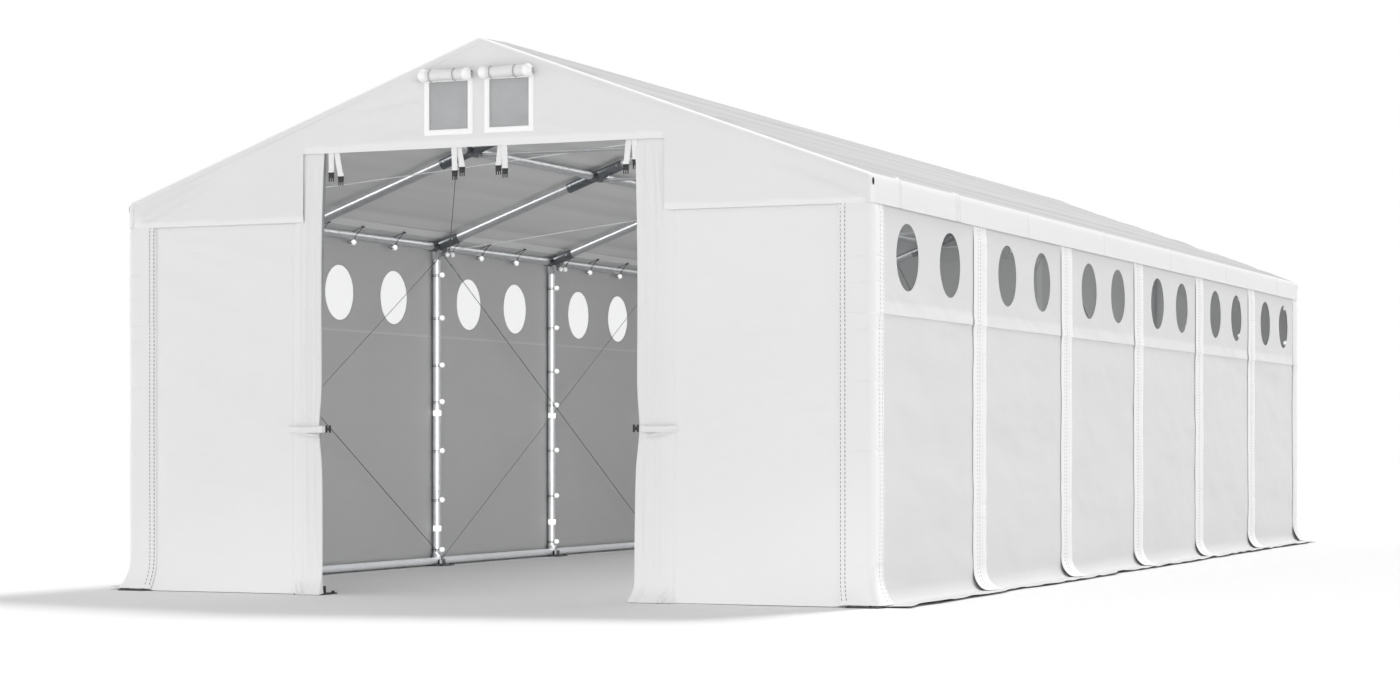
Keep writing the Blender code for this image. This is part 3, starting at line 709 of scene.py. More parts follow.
def makeHeader(end, way):
    # Rows of points run between five lines: hem, lintel, the vents' sills, their heads and the top.
    # Away from the vents the two middle lines lean over to the slope. Quads in doorway and vents go.
    shape = headerShape
    width = tent["coverX"] - shape["inset"] - 0.0005
    notch, low, lintel = tent["notchHalf"], tent["valanceBottom"], tent["lintel"]
    inner, outer, rows = shape["ventInner"], shape["ventOuter"], shape["rows"]
    right = spread((0.0, 0), (inner, 4), (outer, 14), (notch, 48), (width - 0.04, 68), (width, 6))
    x = np.concatenate([-right[:0:-1], right])
    top = headerTop(x)
    slope = low + (top - low) * (lintel - low) / (headerTop(notch) - low)
    middle = np.where(np.abs(x) <= notch, lintel, slope)
    away = ease(np.abs(x), outer + 0.03, 0.95)
    sill, head = (
        shape[place] * (1 - away) + (middle + (top - middle) * share) * away
        for place, share in (("ventBottom", 0.33), ("ventTop", 0.78))
    )
    stops = [np.full_like(x, low), middle, sill, head, top]
    z = np.concatenate([
        a + (b - a) * np.linspace(0, 1, steps + 1)[:-1, None]
        for a, b, steps in zip(stops, stops[1:], rows)
    ] + [top[None]])
    x = x + 0 * z
    rowMiddle = (np.arange(len(z) - 1) + 0.5)[:, None]
    columnMiddle = np.abs((x[0, 1:] + x[0, :-1]) / 2)[None]
    doorway = (rowMiddle < rows[0]) & (columnMiddle < notch)
    beside = (rowMiddle > rows[0] + rows[1]) & (rowMiddle < rows[0] + rows[1] + rows[2])
    vent = beside & (columnMiddle > inner) & (columnMiddle < outer)
    depth = slackFolds(x + 20, z + 20, 40 + way, (0.9, 0.30), shape["slack"])
    depth += pullFolds(x * -way, z, shape["folds"])
    edge = np.minimum(headerTop(x) - z, width - np.abs(x))
    depth *= ease(edge, 0.0, 0.10) * ease(z, low - 0.01, low + 0.06)
    border = np.maximum(np.abs(np.abs(x) - (inner + outer) / 2) - 0.165, np.abs(z - 3.0) - 0.20)
    depth *= 0.15 + 0.85 * ease(border, 0.0, 0.05)
    depth = np.maximum(depth, -0.002)
    grid = np.stack([x, way * (tent["gableY"] - 0.001 + depth), z], -1)
    lintelHem = (np.abs(x) < notch) * (1 - ease(z - lintel, 0.04, 0.044))
    hem = np.maximum(1 - ease(z - low, 0.03, 0.034), lintelHem)
    # A strip up to the eave and the triangle over it, less the doorway's notch
    area = 2 * width * (headerTop(width * 0.98) - low) + width * (tent["ridgeTop"] - 2.47)
    area = float(area - 2 * notch * (lintel - low))
    makeSheet(
        f"gable_header_sheet_{end}", grid, np.stack([x, z], -1), (0, way, 0),
        (2 * width, tent["ridgeTop"] - low), "stretched", ["roof_cover_sheet"], node=f"gable_header_{end}",
        keep=~(doorway | vent), doubled=0.3 * hem, area=area,
    )


ventShape = {
    "borderWidth": 0.034,
    "borderHeight": 0.004,
    "rollZ": 3.180,
    "rollLength": 0.36,
    "rollRadius": 0.036,
    "rollCore": 0.008,
    "rollGap": 0.004,        # between the header and the roll
    "rollThick": 0.001,
    "turns": 4.2,
    "tiePlaces": (-0.100, 0.063),
    "tieRadius": 0.0365,
    "tieThick": 0.0022,
}


def makeVentBorder(end, way):
    # A sewn band round each vent: rectangles from its outer to its inner edge, raised like a flat pillow
    parts = []
    share = np.linspace(0, 1, 6)
    inset = ventShape["borderWidth"] * (share - 1)
    rise = ventShape["borderHeight"] * (1 - (2 * share - 1) ** 4) + 0.0006
    low, high = headerShape["ventInner"], headerShape["ventOuter"]
    bottom, top = headerShape["ventBottom"], headerShape["ventTop"]
    corner = np.array([(low, bottom), (high, bottom), (high, top), (low, top)])
    away = np.array([(-1, -1), (1, -1), (1, 1), (-1, 1)])
    step = np.linspace(0, 1, 9)[:-1, None]
    loop = np.concatenate([
        (a + (b - a) * step)[None] - inset[:, None, None] * (u + (v - u) * step)[None]
        for a, b, u, v in zip(corner, np.roll(corner, -1, 0), away, np.roll(away, -1, 0))
    ], axis=1)
    loop = np.concatenate([loop, loop[:, :1]], axis=1)
    y = way * (tent["gableY"] + rise)[:, None] + 0 * loop[..., 0]
    for side in (-1, 1):
        grid = np.stack([side * loop[..., 0], y, loop[..., 1]], -1)
        parts.append(clothShell(grid, loop, (0, way, 0), doubled=1.0, inside=0))
    makePiece(f"vent_border_{end}", parts, ["tarpaulin"])


def makeVentRolls(end, way):
    # Each vent's cover, rolled up: a spiral carried along, pinched by two ties and fuller at its ends
    shape = ventShape
    share = np.linspace(0, 1, 150)
    turn = share * shape["turns"] * 2 * math.pi
    along = np.linspace(-0.5, 0.5, 61) * shape["rollLength"]
    pinch = sum(bell(along, place, 0.008) for place in shape["tiePlaces"])
    full = 1 + 0.17 * ease(np.abs(along), 0.125, 0.150) - 0.08 * pinch
    full = full - 0.60 * ease(np.abs(along), 0.150, 0.186) ** 2
    core, ahead = shape["rollCore"], tent["gableY"] + shape["rollGap"] + shape["rollRadius"] * 1.02
    around = np.linspace(0, 2 * math.pi, 33)
    ring = np.stack([around, way * (ahead + shape["tieRadius"] * np.cos(around)),
                     shape["rollZ"] + shape["tieRadius"] * np.sin(around)], -1)
    for word, side in sideSigns.items():
        middle = side * (headerShape["ventInner"] + headerShape["ventOuter"]) / 2
        reach = (core + (shape["rollRadius"] - core) * share)[:, None] * full
        reach = reach + 0.0012 * softNoise(turn[:, None] * 2, along / 0.05 + side * 7 + 20, 60)
        y = way * (ahead + reach * np.cos(turn)[:, None])
        z = shape["rollZ"] + reach * np.sin(turn)[:, None]
        grid = np.stack([middle + along + 0 * reach, y, z], -1)
        length = distances(*grid[:, 30, 1:].T)
        makeSheet(
            f"vent_roll_{end}_{word}", grid, np.stack([along + 0 * reach, length[:, None] + 0 * reach], -1),
            (0, 0, 1), (shape["rollLength"], float(length[-1])), "folded", [f"gable_header_sheet_{end}"],
            ("tarpaulin",), thick=shape["rollThick"],
            doubled=ease(np.abs(along), 0.120, 0.132)[None] + 0 * reach,
        )
        ties = []
        for place in shape["tiePlaces"]:
            ring[:, 0] = middle + place
            ties.append(tube(ring, shape["tieThick"], 6, (1, 0, 0)))
        makePiece(f"vent_ties_{end}_{word}", ties, ["greyTape"])


for end, way in endSigns.items():
    makeHeader(end, way)
    makeVentBorder(end, way)
    makeVentRolls(end, way)
    finishNode(f"vent_net_{end}", "wovenNet")
print("gable headers ready")


# Long walls: an upper sheet with the windows over a lower sheet that ends in a skirt on the ground

wallShape = {
    "end": 5.985,            # the sheets end inside the corner flaps
    "upperTop": 2.40,
    "tuckTop": 2.443,        # the upper sheet goes on behind the eave rail
    "lowerTop": 1.76,
    "hemWidth": 0.065,
    "hemLines": (0.0, 0.004, 0.02, 0.04),    # rows of points in the hem, from the seam up
    "seamRise": 0.0045,
    "slack": 0.0085,
    "windowZ": 2.04,
    "windowRadius": 0.20,
    "windowOffset": 0.40,
    "spacing": 0.028,        # of the points round the windows
    "over": 0.0015,          # how far the upper sheet lies outside the lower one
    "curveTop": 0.10,
    "curveOut": 0.07,
    "skirtOut": 0.20,
    "skirtZ": 0.0105,
}
windowMiddles = np.concatenate([bayMiddles + way * wallShape["windowOffset"] for way in (-1, 1)])


def wallSwell(side, y, z):
    # How far a long wall stands out from its plane: slack between the arches, flat over posts and film
    slack = wallShape["slack"]
    swell = slackFolds(y + 30, z + 10, 70 + side, (1.1, 0.26), slack)
    swell += 0.5 * slackFolds(y + 30, z + 0.45 * (y + 30), 76 + side, (0.7, 0.20), slack)
    swell *= 1 - 0.75 * nearArch(y, 0.22)
    calm = ease(z, 1.78, 1.86)
    swell = swell * (1 - calm) + (0.0005 + 0.25 * swell) * calm
    return swell * (1 - ease(z, 2.22, 2.30))


def cutRound(y, z, centres, radius, spacing):
    # Points near a circle move onto it. Quads inside go, and quads cut by it keep a triangle outside.
    nearest = centres[np.abs(y[..., None] - centres).argmin(axis=-1)]
    reach = np.hypot(y - nearest, z - wallShape["windowZ"])
    onCircle = np.abs(reach - radius) <= spacing / 2
    scale = np.where(onCircle, radius / np.maximum(reach, 1e-9), 1.0)
    y = nearest + (y - nearest) * scale
    z = wallShape["windowZ"] + (z - wallShape["windowZ"]) * scale
    state = np.where(onCircle, 0, np.sign(reach - radius))
    quads = gridFaces(*y.shape)
    corner = state.ravel()[quads]
    keep = (corner.min(axis=1) >= 0) & (corner.max(axis=1) > 0)
    mixed = (corner.min(axis=1) < 0) & (corner.max(axis=1) > 0)
    outer = corner[mixed].argmax(axis=1)[:, None]
    return y, z, keep, np.take_along_axis(quads[mixed], (outer + np.array([-1, 0, 1])) % 4, axis=1)


def makeUpperWall(word, side):
    # Rows of points from the seam up, the windows cut out and the hem raised over the lower sheet
    shape, seamZ = wallShape, tent["seamZ"]
    yLine = np.linspace(-shape["end"], shape["end"], round(2 * shape["end"] / shape["spacing"]) + 1)
    upLine = np.linspace(seamZ + shape["hemWidth"], shape["upperTop"], 24)
    zLine = np.concatenate([seamZ + np.array(shape["hemLines"]), upLine, [shape["tuckTop"]]])
    z, y = np.meshgrid(zLine, yLine, indexing="ij")
    spacing = 2 * shape["end"] / (len(yLine) - 1) * 1.01
    y, z, keep, triangles = cutRound(y, z, np.sort(windowMiddles), shape["windowRadius"], spacing)
    seam = 1 - ease(z - seamZ, 0.0, 0.06)
    ripple = 0.7 + 0.3 * softNoise(y / 0.22 + 40, z * 0 + 3, 90 + side)
    out = np.maximum(wallSwell(side, y, z) + shape["over"] + shape["seamRise"] * seam * ripple, 0.0)
    hem = 1 - ease(z - seamZ, shape["hemWidth"], shape["hemWidth"] + 0.004)
    size = (2 * shape["end"], shape["tuckTop"] - seamZ)
    area = size[0] * size[1] - 12 * math.pi * shape["windowRadius"] ** 2
    makeSheet(
        f"side_wall_upper_{word}", np.stack([side * (tent["wallX"] + out), y, z], -1), np.stack([y, z], -1),
        (side, 0, 0), size, "hung", ["roof_cover_sheet"], node=f"side_wall_{word}", keep=keep,
        corners=triangles, doubled=0.35 * hem, area=area,
    )


def hangingLine(top, curveTop, curveOut, lift, out, straightSteps, flatSteps):
    # A hanging sheet's line: straight down, a quarter ellipse outwards, then flat along the ground.
    # It gives how far out and how high each point is.
    turn = np.linspace(0, math.pi / 2, 9)
    down = np.linspace(top, curveTop, straightSteps + 1)[:-1]
    ahead = [0 * down, curveOut * (1 - np.cos(turn)), np.linspace(curveOut, out, flatSteps + 1)[1:]]
    height = [down, curveTop - (curveTop - lift) * np.sin(turn), np.full(flatSteps, lift)]
    return np.concatenate(ahead), np.concatenate(height)


def makeLowerWall(word, side):
    # The hanging line along the wall, with the wall's swell and a skirt that wanders on the ground
    shape = wallShape
    ahead, height = hangingLine(
        shape["lowerTop"], shape["curveTop"], shape["curveOut"], shape["skirtZ"], shape["skirtOut"], 34, 5
    )
    length = distances(ahead, height)
    out, y = np.meshgrid(ahead, np.linspace(-shape["end"], shape["end"], 270), indexing="ij")
    z = height[:, None] + 0 * y
    swell = wallSwell(side, y, z) * ease(z, 0.05, 0.20)
    ground = ease(out, shape["curveOut"] * 0.9, shape["skirtOut"])
    out = out + ground * 0.025 * softNoise(y / 0.30 + 50, z * 0 + 5, 110 + side)
    z = z + ground * 0.006 * (1 + softNoise(y / 0.16 + 50, out * 6 + 4, 111 + side))
    grid = np.stack([side * (tent["wallX"] - 0.001 + swell + out), y, z], -1)
    makeSheet(
        f"side_wall_lower_{word}", grid, np.stack([y, length[:, None] + 0 * y], -1), (side, 0, 0.2),
        (2 * shape["end"], float(length[-1])), "hung", [f"side_wall_upper_{word}"], node=f"side_wall_{word}",
    )


filmShape = {"radius": 0.206, "thick": 0.0012, "gap": 0.0022, "bulge": 0.0012}


def makeWindowFilm(word, side):
    # A disc of film behind each window: rings of points that bulge a little towards the middle
    shape = filmShape
    reach = shape["radius"] * np.linspace(1, 0.04, 12)
    turn = np.linspace(0, 2 * math.pi, 49)[:-1]
    bulge = shape["bulge"] * (1 - (reach / shape["radius"]) ** 2)
    half = shape["thick"] / 2
    reach = np.concatenate([reach[::-1], reach])[:, None]
    across = np.concatenate([bulge[::-1] - half, bulge + half])[:, None]
    rings = np.stack([across + 0 * turn, reach * np.cos(turn), reach * np.sin(turn)], -1)
    disc = loft(rings, poles=[(bulge[-1] - half, 0, 0), (bulge[-1] + half, 0, 0)])
    x = np.full(12, side * (tent["wallX"] - shape["gap"]))
    offsets = np.stack([x, windowMiddles, np.full(12, wallShape["windowZ"])], -1)
    discs = [copies(disc, offsets)]
    makePiece(f"window_film_discs_{word}", discs, ["clearFilm"], [f"window_film_{word}"])


flapShape = {
    "half": 0.134,
    "top": 2.33,
    "curveTop": 0.16,
    "curveOut": 0.105,
    "tipOut": 0.125,
    "lift": 0.0165,
    "stitches": (-0.052, -0.008),      # the double seam, as distances from the strip's middle
    "pinches": (2.20, 2.04, 1.85, 1.50, 1.33, 1.21, 0.87, 0.55, 0.46),
    "pinchRows": (-0.012, -0.006, 0.0, 0.006, 0.012),
    "pinchWidth": 0.005,
    "pinchDepth": 0.0035,
    "seamRows": (-0.0012, 0.0012),
    "step": 0.0035,          # at the wall's seam, where a flap's upper half overlaps the lower one
    "rise": 0.0022,
    "belly": 0.008,
}


def flapRows(heights, pinches):
    # Heights of a flap's rows of points from the top down, closer together at the pinches and the wall's seam
    fine = np.array(pinches)[:, None] + np.array(flapShape["pinchRows"])
    rows = np.concatenate([*heights, fine.ravel(), tent["seamZ"] + np.array(flapShape["seamRows"])])
    return np.unique(np.round(rows, 4))[::-1]


def flapStep(z):
    # A smooth step at the wall's seam
    return flapShape["step"] * ease(z, tent["seamZ"] - 0.001, tent["seamZ"] + 0.001)


def wallCover(side, y, z):
    # How far the outer face of the long wall's two sheets stands out, seam included
    seam = bell(z - tent["seamZ"], 0.01, 0.035) * (z > 1.5)
    return np.maximum(wallSwell(side, y, z), -0.001) + wallShape["over"] + wallShape["seamRise"] * seam


def flapGrid(side, yMiddle, seed):
    # A strip over the post: one half bellies out between the pinches, and the foot curves out on the ground.
    # Its straight part has rows of its own, so the hanging line gives only the curve and the foot.
    shape = flapShape
    rows = flapRows([np.linspace(shape["top"], shape["curveTop"] + 0.01, 46)], shape["pinches"])
    ahead, height = hangingLine(
        shape["top"], shape["curveTop"], shape["curveOut"], shape["lift"], shape["tipOut"], 1, 2
    )
    height, ahead = np.concatenate([rows, height[1:]]), np.concatenate([0 * rows, ahead[1:]])
    pinches = np.array(shape["pinches"])
    across = spread((-shape["half"], 0), (-0.075, 3), (-0.01, 4), (shape["half"], 8))
    z, u = np.meshgrid(height, across, indexing="ij")
    out = ahead[:, None] + 0 * u
    belly = shape["belly"] * np.sin(math.pi * ease(u, -0.02, shape["half"] + 0.02))
    belly = belly * (1 - ease(z, 2.20, 2.30))
    belly *= 0.75 + 0.35 * softNoise(z / 0.30 + seed, u * 4 + 9, 130 + seed)
    strength = 0.6 + 0.4 * softNoise(pinches * 7 + seed * 3, pinches * 0 + seed, 131)
    pinch = sum(power * bell(z, place, shape["pinchWidth"]) for place, power in zip(pinches, strength))
    belly -= shape["pinchDepth"] * pinch * ease(u, -0.05, 0.02) * (1 - ease(z, 2.24, 2.30))
    onWall = wallCover(side, yMiddle + u, z) * ease(z, 0.05, 0.2)
    rise = shape["rise"] * (1 + ease(shape["half"] - np.abs(u), 0, 0.03))
    rise = rise + flapStep(z) * (1 - ease(z, 2.26, 2.31))
    rise = np.maximum(rise + belly, shape["rise"])
    x = side * (tent["wallX"] + onWall * (1 - ease(z, 2.22, 2.30)) + rise + out)
    spreadOut = 1 + 0.10 * ease(out, 0.0, shape["curveOut"])
    length = distances(height, ahead)
    return np.stack([x, yMiddle + u * spreadOut, z], -1), np.stack([u, length[:, None] + 0 * u], -1)


stitchShape = {"width": 0.0050, "length": 0.0165, "pitch": 0.0250, "height": 0.0012, "taper": 0.7}


def stitchRow(line, out, finish):
    # Stitches along a line of points: short raised blocks, evenly spaced by distance along the line
    shape = stitchShape
    travelled = distances(*line.T)
    places = np.arange(shape["pitch"] / 2, travelled[-1] - shape["pitch"] / 2, shape["pitch"])
    centre, ahead, normal = (
        np.stack([np.interp(places + step, travelled, values[:, k]) for k in range(3)], -1)
        for step, values in ((0, line), (0.004, line), (0, out))
    )
    along, normal = unit(ahead - centre), unit(normal)
    across = np.cross(normal, along)
    signs = np.array([(a, b, c) for c in (-1, 1) for b in (-1, 1) for a in (-1, 1)], float)
    taper = np.where(signs[:, 2] > 0, shape["taper"], 1.0)[:, None]
    points = centre[:, None] + (signs[:, :1] * taper * shape["length"] / 2) * along[:, None]
    points = points + (signs[:, 1:2] * taper * shape["width"] / 2) * across[:, None]
    points = points + (signs[:, 2:] / 2 + 0.3) * shape["height"] * normal[:, None]
    block = np.array([(0, 2, 3, 1), (4, 5, 7, 6), (0, 1, 5, 4), (2, 6, 7, 3), (0, 4, 6, 2), (1, 3, 7, 5)])
    faces = (block + (np.arange(len(centre)) * 8)[:, None, None]).reshape(-1, 4)
    return surface(points.reshape(-1, 3), faces, finish=finish)


def gridNormals(grid, outward):
    # Unit normals of a grid of points, on its outward side
    normal = unit(np.cross(np.gradient(grid, axis=0), np.gradient(grid, axis=1)))
    return normal * np.sign((normal @ np.asarray(outward, float)).sum())


def seamLines(grid, outward, positions, coordinate):
    # Rows of stitches where the cloth's own across coordinate has the given values.
    # Each position comes with its thread.
    normals = gridNormals(grid, outward)
    rows = []
    for value, thread in positions:
        column = np.interp(value, coordinate, np.arange(len(coordinate)))
        low = min(int(column), len(coordinate) - 2)
        share = column - low
        line = grid[:, low] * (1 - share) + grid[:, low + 1] * share
        rows.append(stitchRow(line, normals[:, low] * (1 - share) + normals[:, low + 1] * share, thread))
    return rows


def makeFlaps(word, side):
    # A strip over each of the five inner posts, with its double seam
    stitches = []
    for i in range(1, 6):
        grid, flat = flapGrid(side, tent["archY"][i], 10 * i + side + 2)
        size = (2 * flapShape["half"], float(flat[-1, 0, 1]))
        makeSheet(
            f"post_flap_{word}_{i + 1}", grid, flat, (side, 0, 0.2), size, "hung",
            [f"side_wall_upper_{word}"], ("tarpaulin",), doubled=1.0,
        )
        places = [(place, 1) for place in flapShape["stitches"]]
        stitches += seamLines(grid, (side, 0, 0.2), places, flat[0, :, 0])
    return stitches


cornerShape = {
    "gableEdge": 2.320,
    "sideEdge": 5.830,
    "round": 0.035,
    "outX": 2.5310,
    "outY": 6.0310,
    "flareTop": 0.22,
    "flareX": 0.085,
    "flareY": 0.040,
    "stitchesGable": (0.016, 0.045),     # distances from the flap's edge on the gable
    "stitchesSide": (0.044, 0.095),      # distances from its edge on the long wall
    "pinches": (2.016, 1.870, 1.594, 1.30, 0.90, 0.235),
    "bottom": 0.016,
    "rise": 0.0067,          # over the wall's sheets
    "gablePress": 0.0051,    # how far each edge sinks back onto its wall
    "sidePress": 0.0045,
}


def makeCornerFlap(word, side, end, way):
    # A plan line from the gable round the corner to the long wall, carried down and flared at the ground
    shape = cornerShape
    radius = shape["round"]
    flatGable = np.linspace(shape["gableEdge"], shape["outX"] - radius, 9)
    turn = np.linspace(0, math.pi / 2, 9)[1:-1]
    flatSide = np.linspace(shape["outY"] - radius, shape["sideEdge"], 10)
    roundX = shape["outX"] - radius * (1 - np.sin(turn))
    roundY = shape["outY"] - radius * (1 - np.cos(turn))
    planX = np.concatenate([flatGable, roundX, np.full_like(flatSide, shape["outX"])])
    planY = np.concatenate([np.full_like(flatGable, shape["outY"]), roundY, flatSide])
    across = distances(planX, planY)
    low = shape["bottom"] + (shape["flareTop"] - shape["bottom"]) * (1 - np.linspace(0, 1, 12)) ** 1.5
    rows = flapRows([np.linspace(flapShape["top"], shape["flareTop"], 44), low], shape["pinches"])
    z, u = np.meshgrid(rows, across, indexing="ij")
    foot = np.clip((shape["flareTop"] - z) / shape["flareTop"], 0, 1)
    onSide = ease(u, across[len(flatGable) - 1], across[-len(flatSide)])
    free = 1 - ease(z, 2.29, 2.325)
    swell = 0.0025 * (1 + softNoise(u / 0.09 + 3, z / 0.4 + 5 * side + 20, 150 + way)) * free
    pinch = sum(bell(z, place, flapShape["pinchWidth"]) for place in shape["pinches"])
    rise = 0.003 * (1 - pinch * ease(u, 0.06, 0.12)) + flapStep(z)
    swell = np.maximum(swell + rise * free, 0)
    cover = wallCover(side, way * planY + 0 * z, z) * ease(z, 0.1, 0.3) * free
    atGable, atSide = 1 - ease(u, 0, 0.03), 1 - ease(across[-1] - u, 0, 0.03)
    lifted = tent["wallX"] + cover + shape["rise"] - atSide * shape["sidePress"]
    x = planX + onSide * (lifted - shape["outX"] + swell * (1 - atSide))
    x = x + shape["flareX"] * foot ** 2.4 * (0.35 + 0.65 * ease(u, 0.03, 0.20))
    y = planY + (1 - onSide) * (swell * (1 - atGable) - atGable * shape["gablePress"])
    y = y + shape["flareY"] * foot ** 2 * (1 - onSide * 0.6)
    grid = np.stack([side * x, way * y, z], -1)
    length = rows[0] - rows
    outward = (side, way, 0.1)
    makeSheet(
        f"corner_flap_{end}_{word}", grid, np.stack([u, length[:, None] + 0 * u], -1), outward,
        (float(across[-1]), float(length[-1])), "hung", [f"side_wall_upper_{word}"], ("tarpaulin",),
        doubled=0.1 + 0.9 * onSide,
    )
    places = [(place, 0) for place in shape["stitchesGable"]]
    places += [(across[-1] - place, 1) for place in shape["stitchesSide"]]
    return seamLines(grid, outward, places, across)


for word, side in sideSigns.items():
    makeUpperWall(word, side)
    makeLowerWall(word, side)
    stitches = makeFlaps(word, side)
    for end, way in endSigns.items():
        stitches += makeCornerFlap(word, side, end, way)
    makePiece(f"flap_stitches_{word}", stitches, ["sewingThread", "paleThread"])
    makeWindowFilm(word, side)
print("long walls ready")


# Gable walls beside the doorways, the door and its curtains

gableShape = {
    "inner": 1.28,
    "outer": 2.512,
    "top": 2.39,
    "bottom": 0.0125,
    "flareTop": 0.22,
    "flareOut": 0.030,
    "slack": 0.0085,
    "edgeDepth": 0.0070,     # the inner edge sinks into the curtain by this much
    "folds": (
        (1.30, 1.02, 1.85, 1.10, 0.035, 0.0065),
        (1.30, 0.98, 1.75, 0.86, 0.030, 0.0065),
        (1.40, 1.30, 2.25, 1.22, 0.050, 0.0060),
        (1.45, 0.62, 2.25, 0.70, 0.050, 0.0050),
    ),
}


def gableSwell(x, z, side, way):
    # How far a gable wall stands out: slack and folds from the strap, flat under header and corner flap,
    # and flared at the foot
    shape = gableShape
    swell = slackFolds(x + 40, z + 20, 200 + 3 * side + way, (0.8, 0.24), shape["slack"])
    leaning = z - 0.30 * np.abs(x) + 20
    swell += 0.6 * slackFolds(x + 40, leaning, 210 + 3 * side + way, (0.5, 0.15), shape["slack"])
    if way < 0:
        swell += pullFolds(np.abs(x), z, shape["folds"])
    calm = 1 - ease(z, 2.20, 2.30)
    calm = calm * (1 - ease(np.abs(x), 2.24, 2.32)) * ease(np.abs(x), 1.22, 1.36)
    foot = np.clip((shape["flareTop"] - z) / shape["flareTop"], 0, 1)
    ripple = softNoise(np.abs(x) / 0.22 + 60, z * 0 + 7, 220 + side + way) * ease(np.abs(x), 1.3, 1.5)
    flare = shape["flareOut"] * foot ** 2 * (1 + 0.25 * ripple)
    return np.clip(swell, -0.004, 0.014) * calm * ease(z, 0.03, 0.30) + flare


def makeGableWall(end, way, word, side):
    # Rows of points lie closer together at the foot, and the front walls' inner edges sink into the curtains
    shape = gableShape
    low = shape["bottom"] + 0.22 * (1 - np.linspace(0, 1, 14)) ** 1.4
    rows = np.concatenate([np.linspace(shape["top"], 0.24, 70), low])
    columns = spread((shape["inner"], 0), (shape["inner"] + 0.030, 6), (shape["outer"], 60))
    z, x = np.meshgrid(rows, columns, indexing="ij")
    sunk = shape["edgeDepth"] * (1 - ease(x, shape["inner"], shape["inner"] + 0.030)) * (way < 0)
    z = z - 0.008 * (1 - ease(z, shape["bottom"], 0.10)) * (1 - ease(x, 2.30, 2.38))
    grid = np.stack([side * x, way * (tent["wallY"] - sunk + gableSwell(side * x, z, side, way)), z], -1)
    makeSheet(
        f"gable_wall_{end}_{word}", grid, np.stack([x, z], -1), (0, way, 0.1),
        (shape["outer"] - shape["inner"], shape["top"]), "hung", [f"gable_header_sheet_{end}"],
        node=f"front_wall_{word}" if way < 0 else "back_wall", doubled=0.1,
    )


curtainShape = {
    "outer": 1.38,
    "top": 2.762,
    "bottom": 0.012,
    # heights and the inner edge's distance from the middle, as measured on each side
    "heights": (0.0, 0.30, 0.60, 1.50, 1.90, 2.30, 2.75),
    "edge": {
        "left": (1.100, 1.100, 1.101, 1.107, 1.109, 1.104, 1.086),
        "right": (1.032, 1.032, 1.038, 1.049, 1.055, 1.046, 1.036),
    },
    "pull": 0.020,           # and how far the strap draws that edge outwards
    "round": 0.0055,
    "front": 0.0028,         # its face lies this far before the gable wall's plane
    "across": 54,            # points across its front
    "layers": 8,
    "layerPitch": 0.0076,
    "layerInner": 1.170,
    "layerOuter": 1.268,
    "footTop": 0.11,
    "footOut": 0.050,
    "tuck": 0.0075,          # the outer edge lies this far back, behind the gable wall
    "strapZ": 1.03,
    # distance from the inner edge, width and height of the gathered folds
    "folds": ((0.020, 0.009, 0.0030), (0.048, 0.012, 0.0062), (0.080, 0.010, 0.0034), (0.112, 0.015, 0.0070),
              (0.150, 0.012, 0.0036)),
    # pleats at the foot: x and z of both ends, width and height
    "pleats": ((1.10, -0.03, 1.09, 0.13, 0.010, 0.014), (1.185, -0.02, 1.275, 0.11, 0.008, 0.020),
               (1.215, -0.02, 1.305, 0.09, 0.007, 0.020), (1.260, -0.02, 1.330, 0.07, 0.008, 0.014)),
    # the folds that hang under the strap
    "sags": ((1.122, 0.986, 1.345, 1.024, 0.012, 0.021), (1.118, 0.962, 1.330, 1.002, 0.009, -0.006),
             (1.085, 0.962, 1.108, 1.000, 0.008, 0.010)),
}


def curtainEdge(word, z):
    # A curve of the fourth degree close to the measured inner edge, and a bell where the strap pulls
    pull = curtainShape["pull"] * bell(z, curtainShape["strapZ"], 0.17)
    return np.polyval(np.polyfit(curtainShape["heights"], curtainShape["edge"][word], 4), z) + pull


def curtainPath(edge):
    # The curtain's line in plan: the front, round the inner edge, back past the post, to and fro beside it.
    # It gives x and y, and a mark of how much of the front each point belongs to.
    shape = curtainShape
    radius, front, count = shape["round"], tent["wallY"] + shape["front"], shape["across"]
    half, bend = np.linspace(0, math.pi, 9)[1:], shape["layerPitch"] / 2
    start = edge + radius
    x = [shape["outer"] + (start - shape["outer"]) * np.linspace(0, 1, count), start - radius * np.sin(half)]
    y = [np.full(count, front), front - radius * (1 - np.cos(half))]
    for k in range(shape["layers"]):
        way = 1 if k % 2 == 0 else -1
        near, far = (shape["layerInner"], shape["layerOuter"])[::way]
        level = front - 2 * radius - k * shape["layerPitch"]
        x.append(np.linspace(near, far, 7) if k else np.linspace(start + 0.004, far, 14))
        y.append(np.full(len(x[-1]), level))
        if k < shape["layers"] - 1:
            x.append(far + way * bend * np.sin(half[:-1]))
            y.append(level - bend * (1 - np.cos(half[:-1])))
    x, y = np.concatenate(x), np.concatenate(y)
    mark = np.concatenate([np.ones(count), 0.5 + 0.5 * np.cos(half), np.zeros(len(x) - count - len(half))])
    return x, y, mark


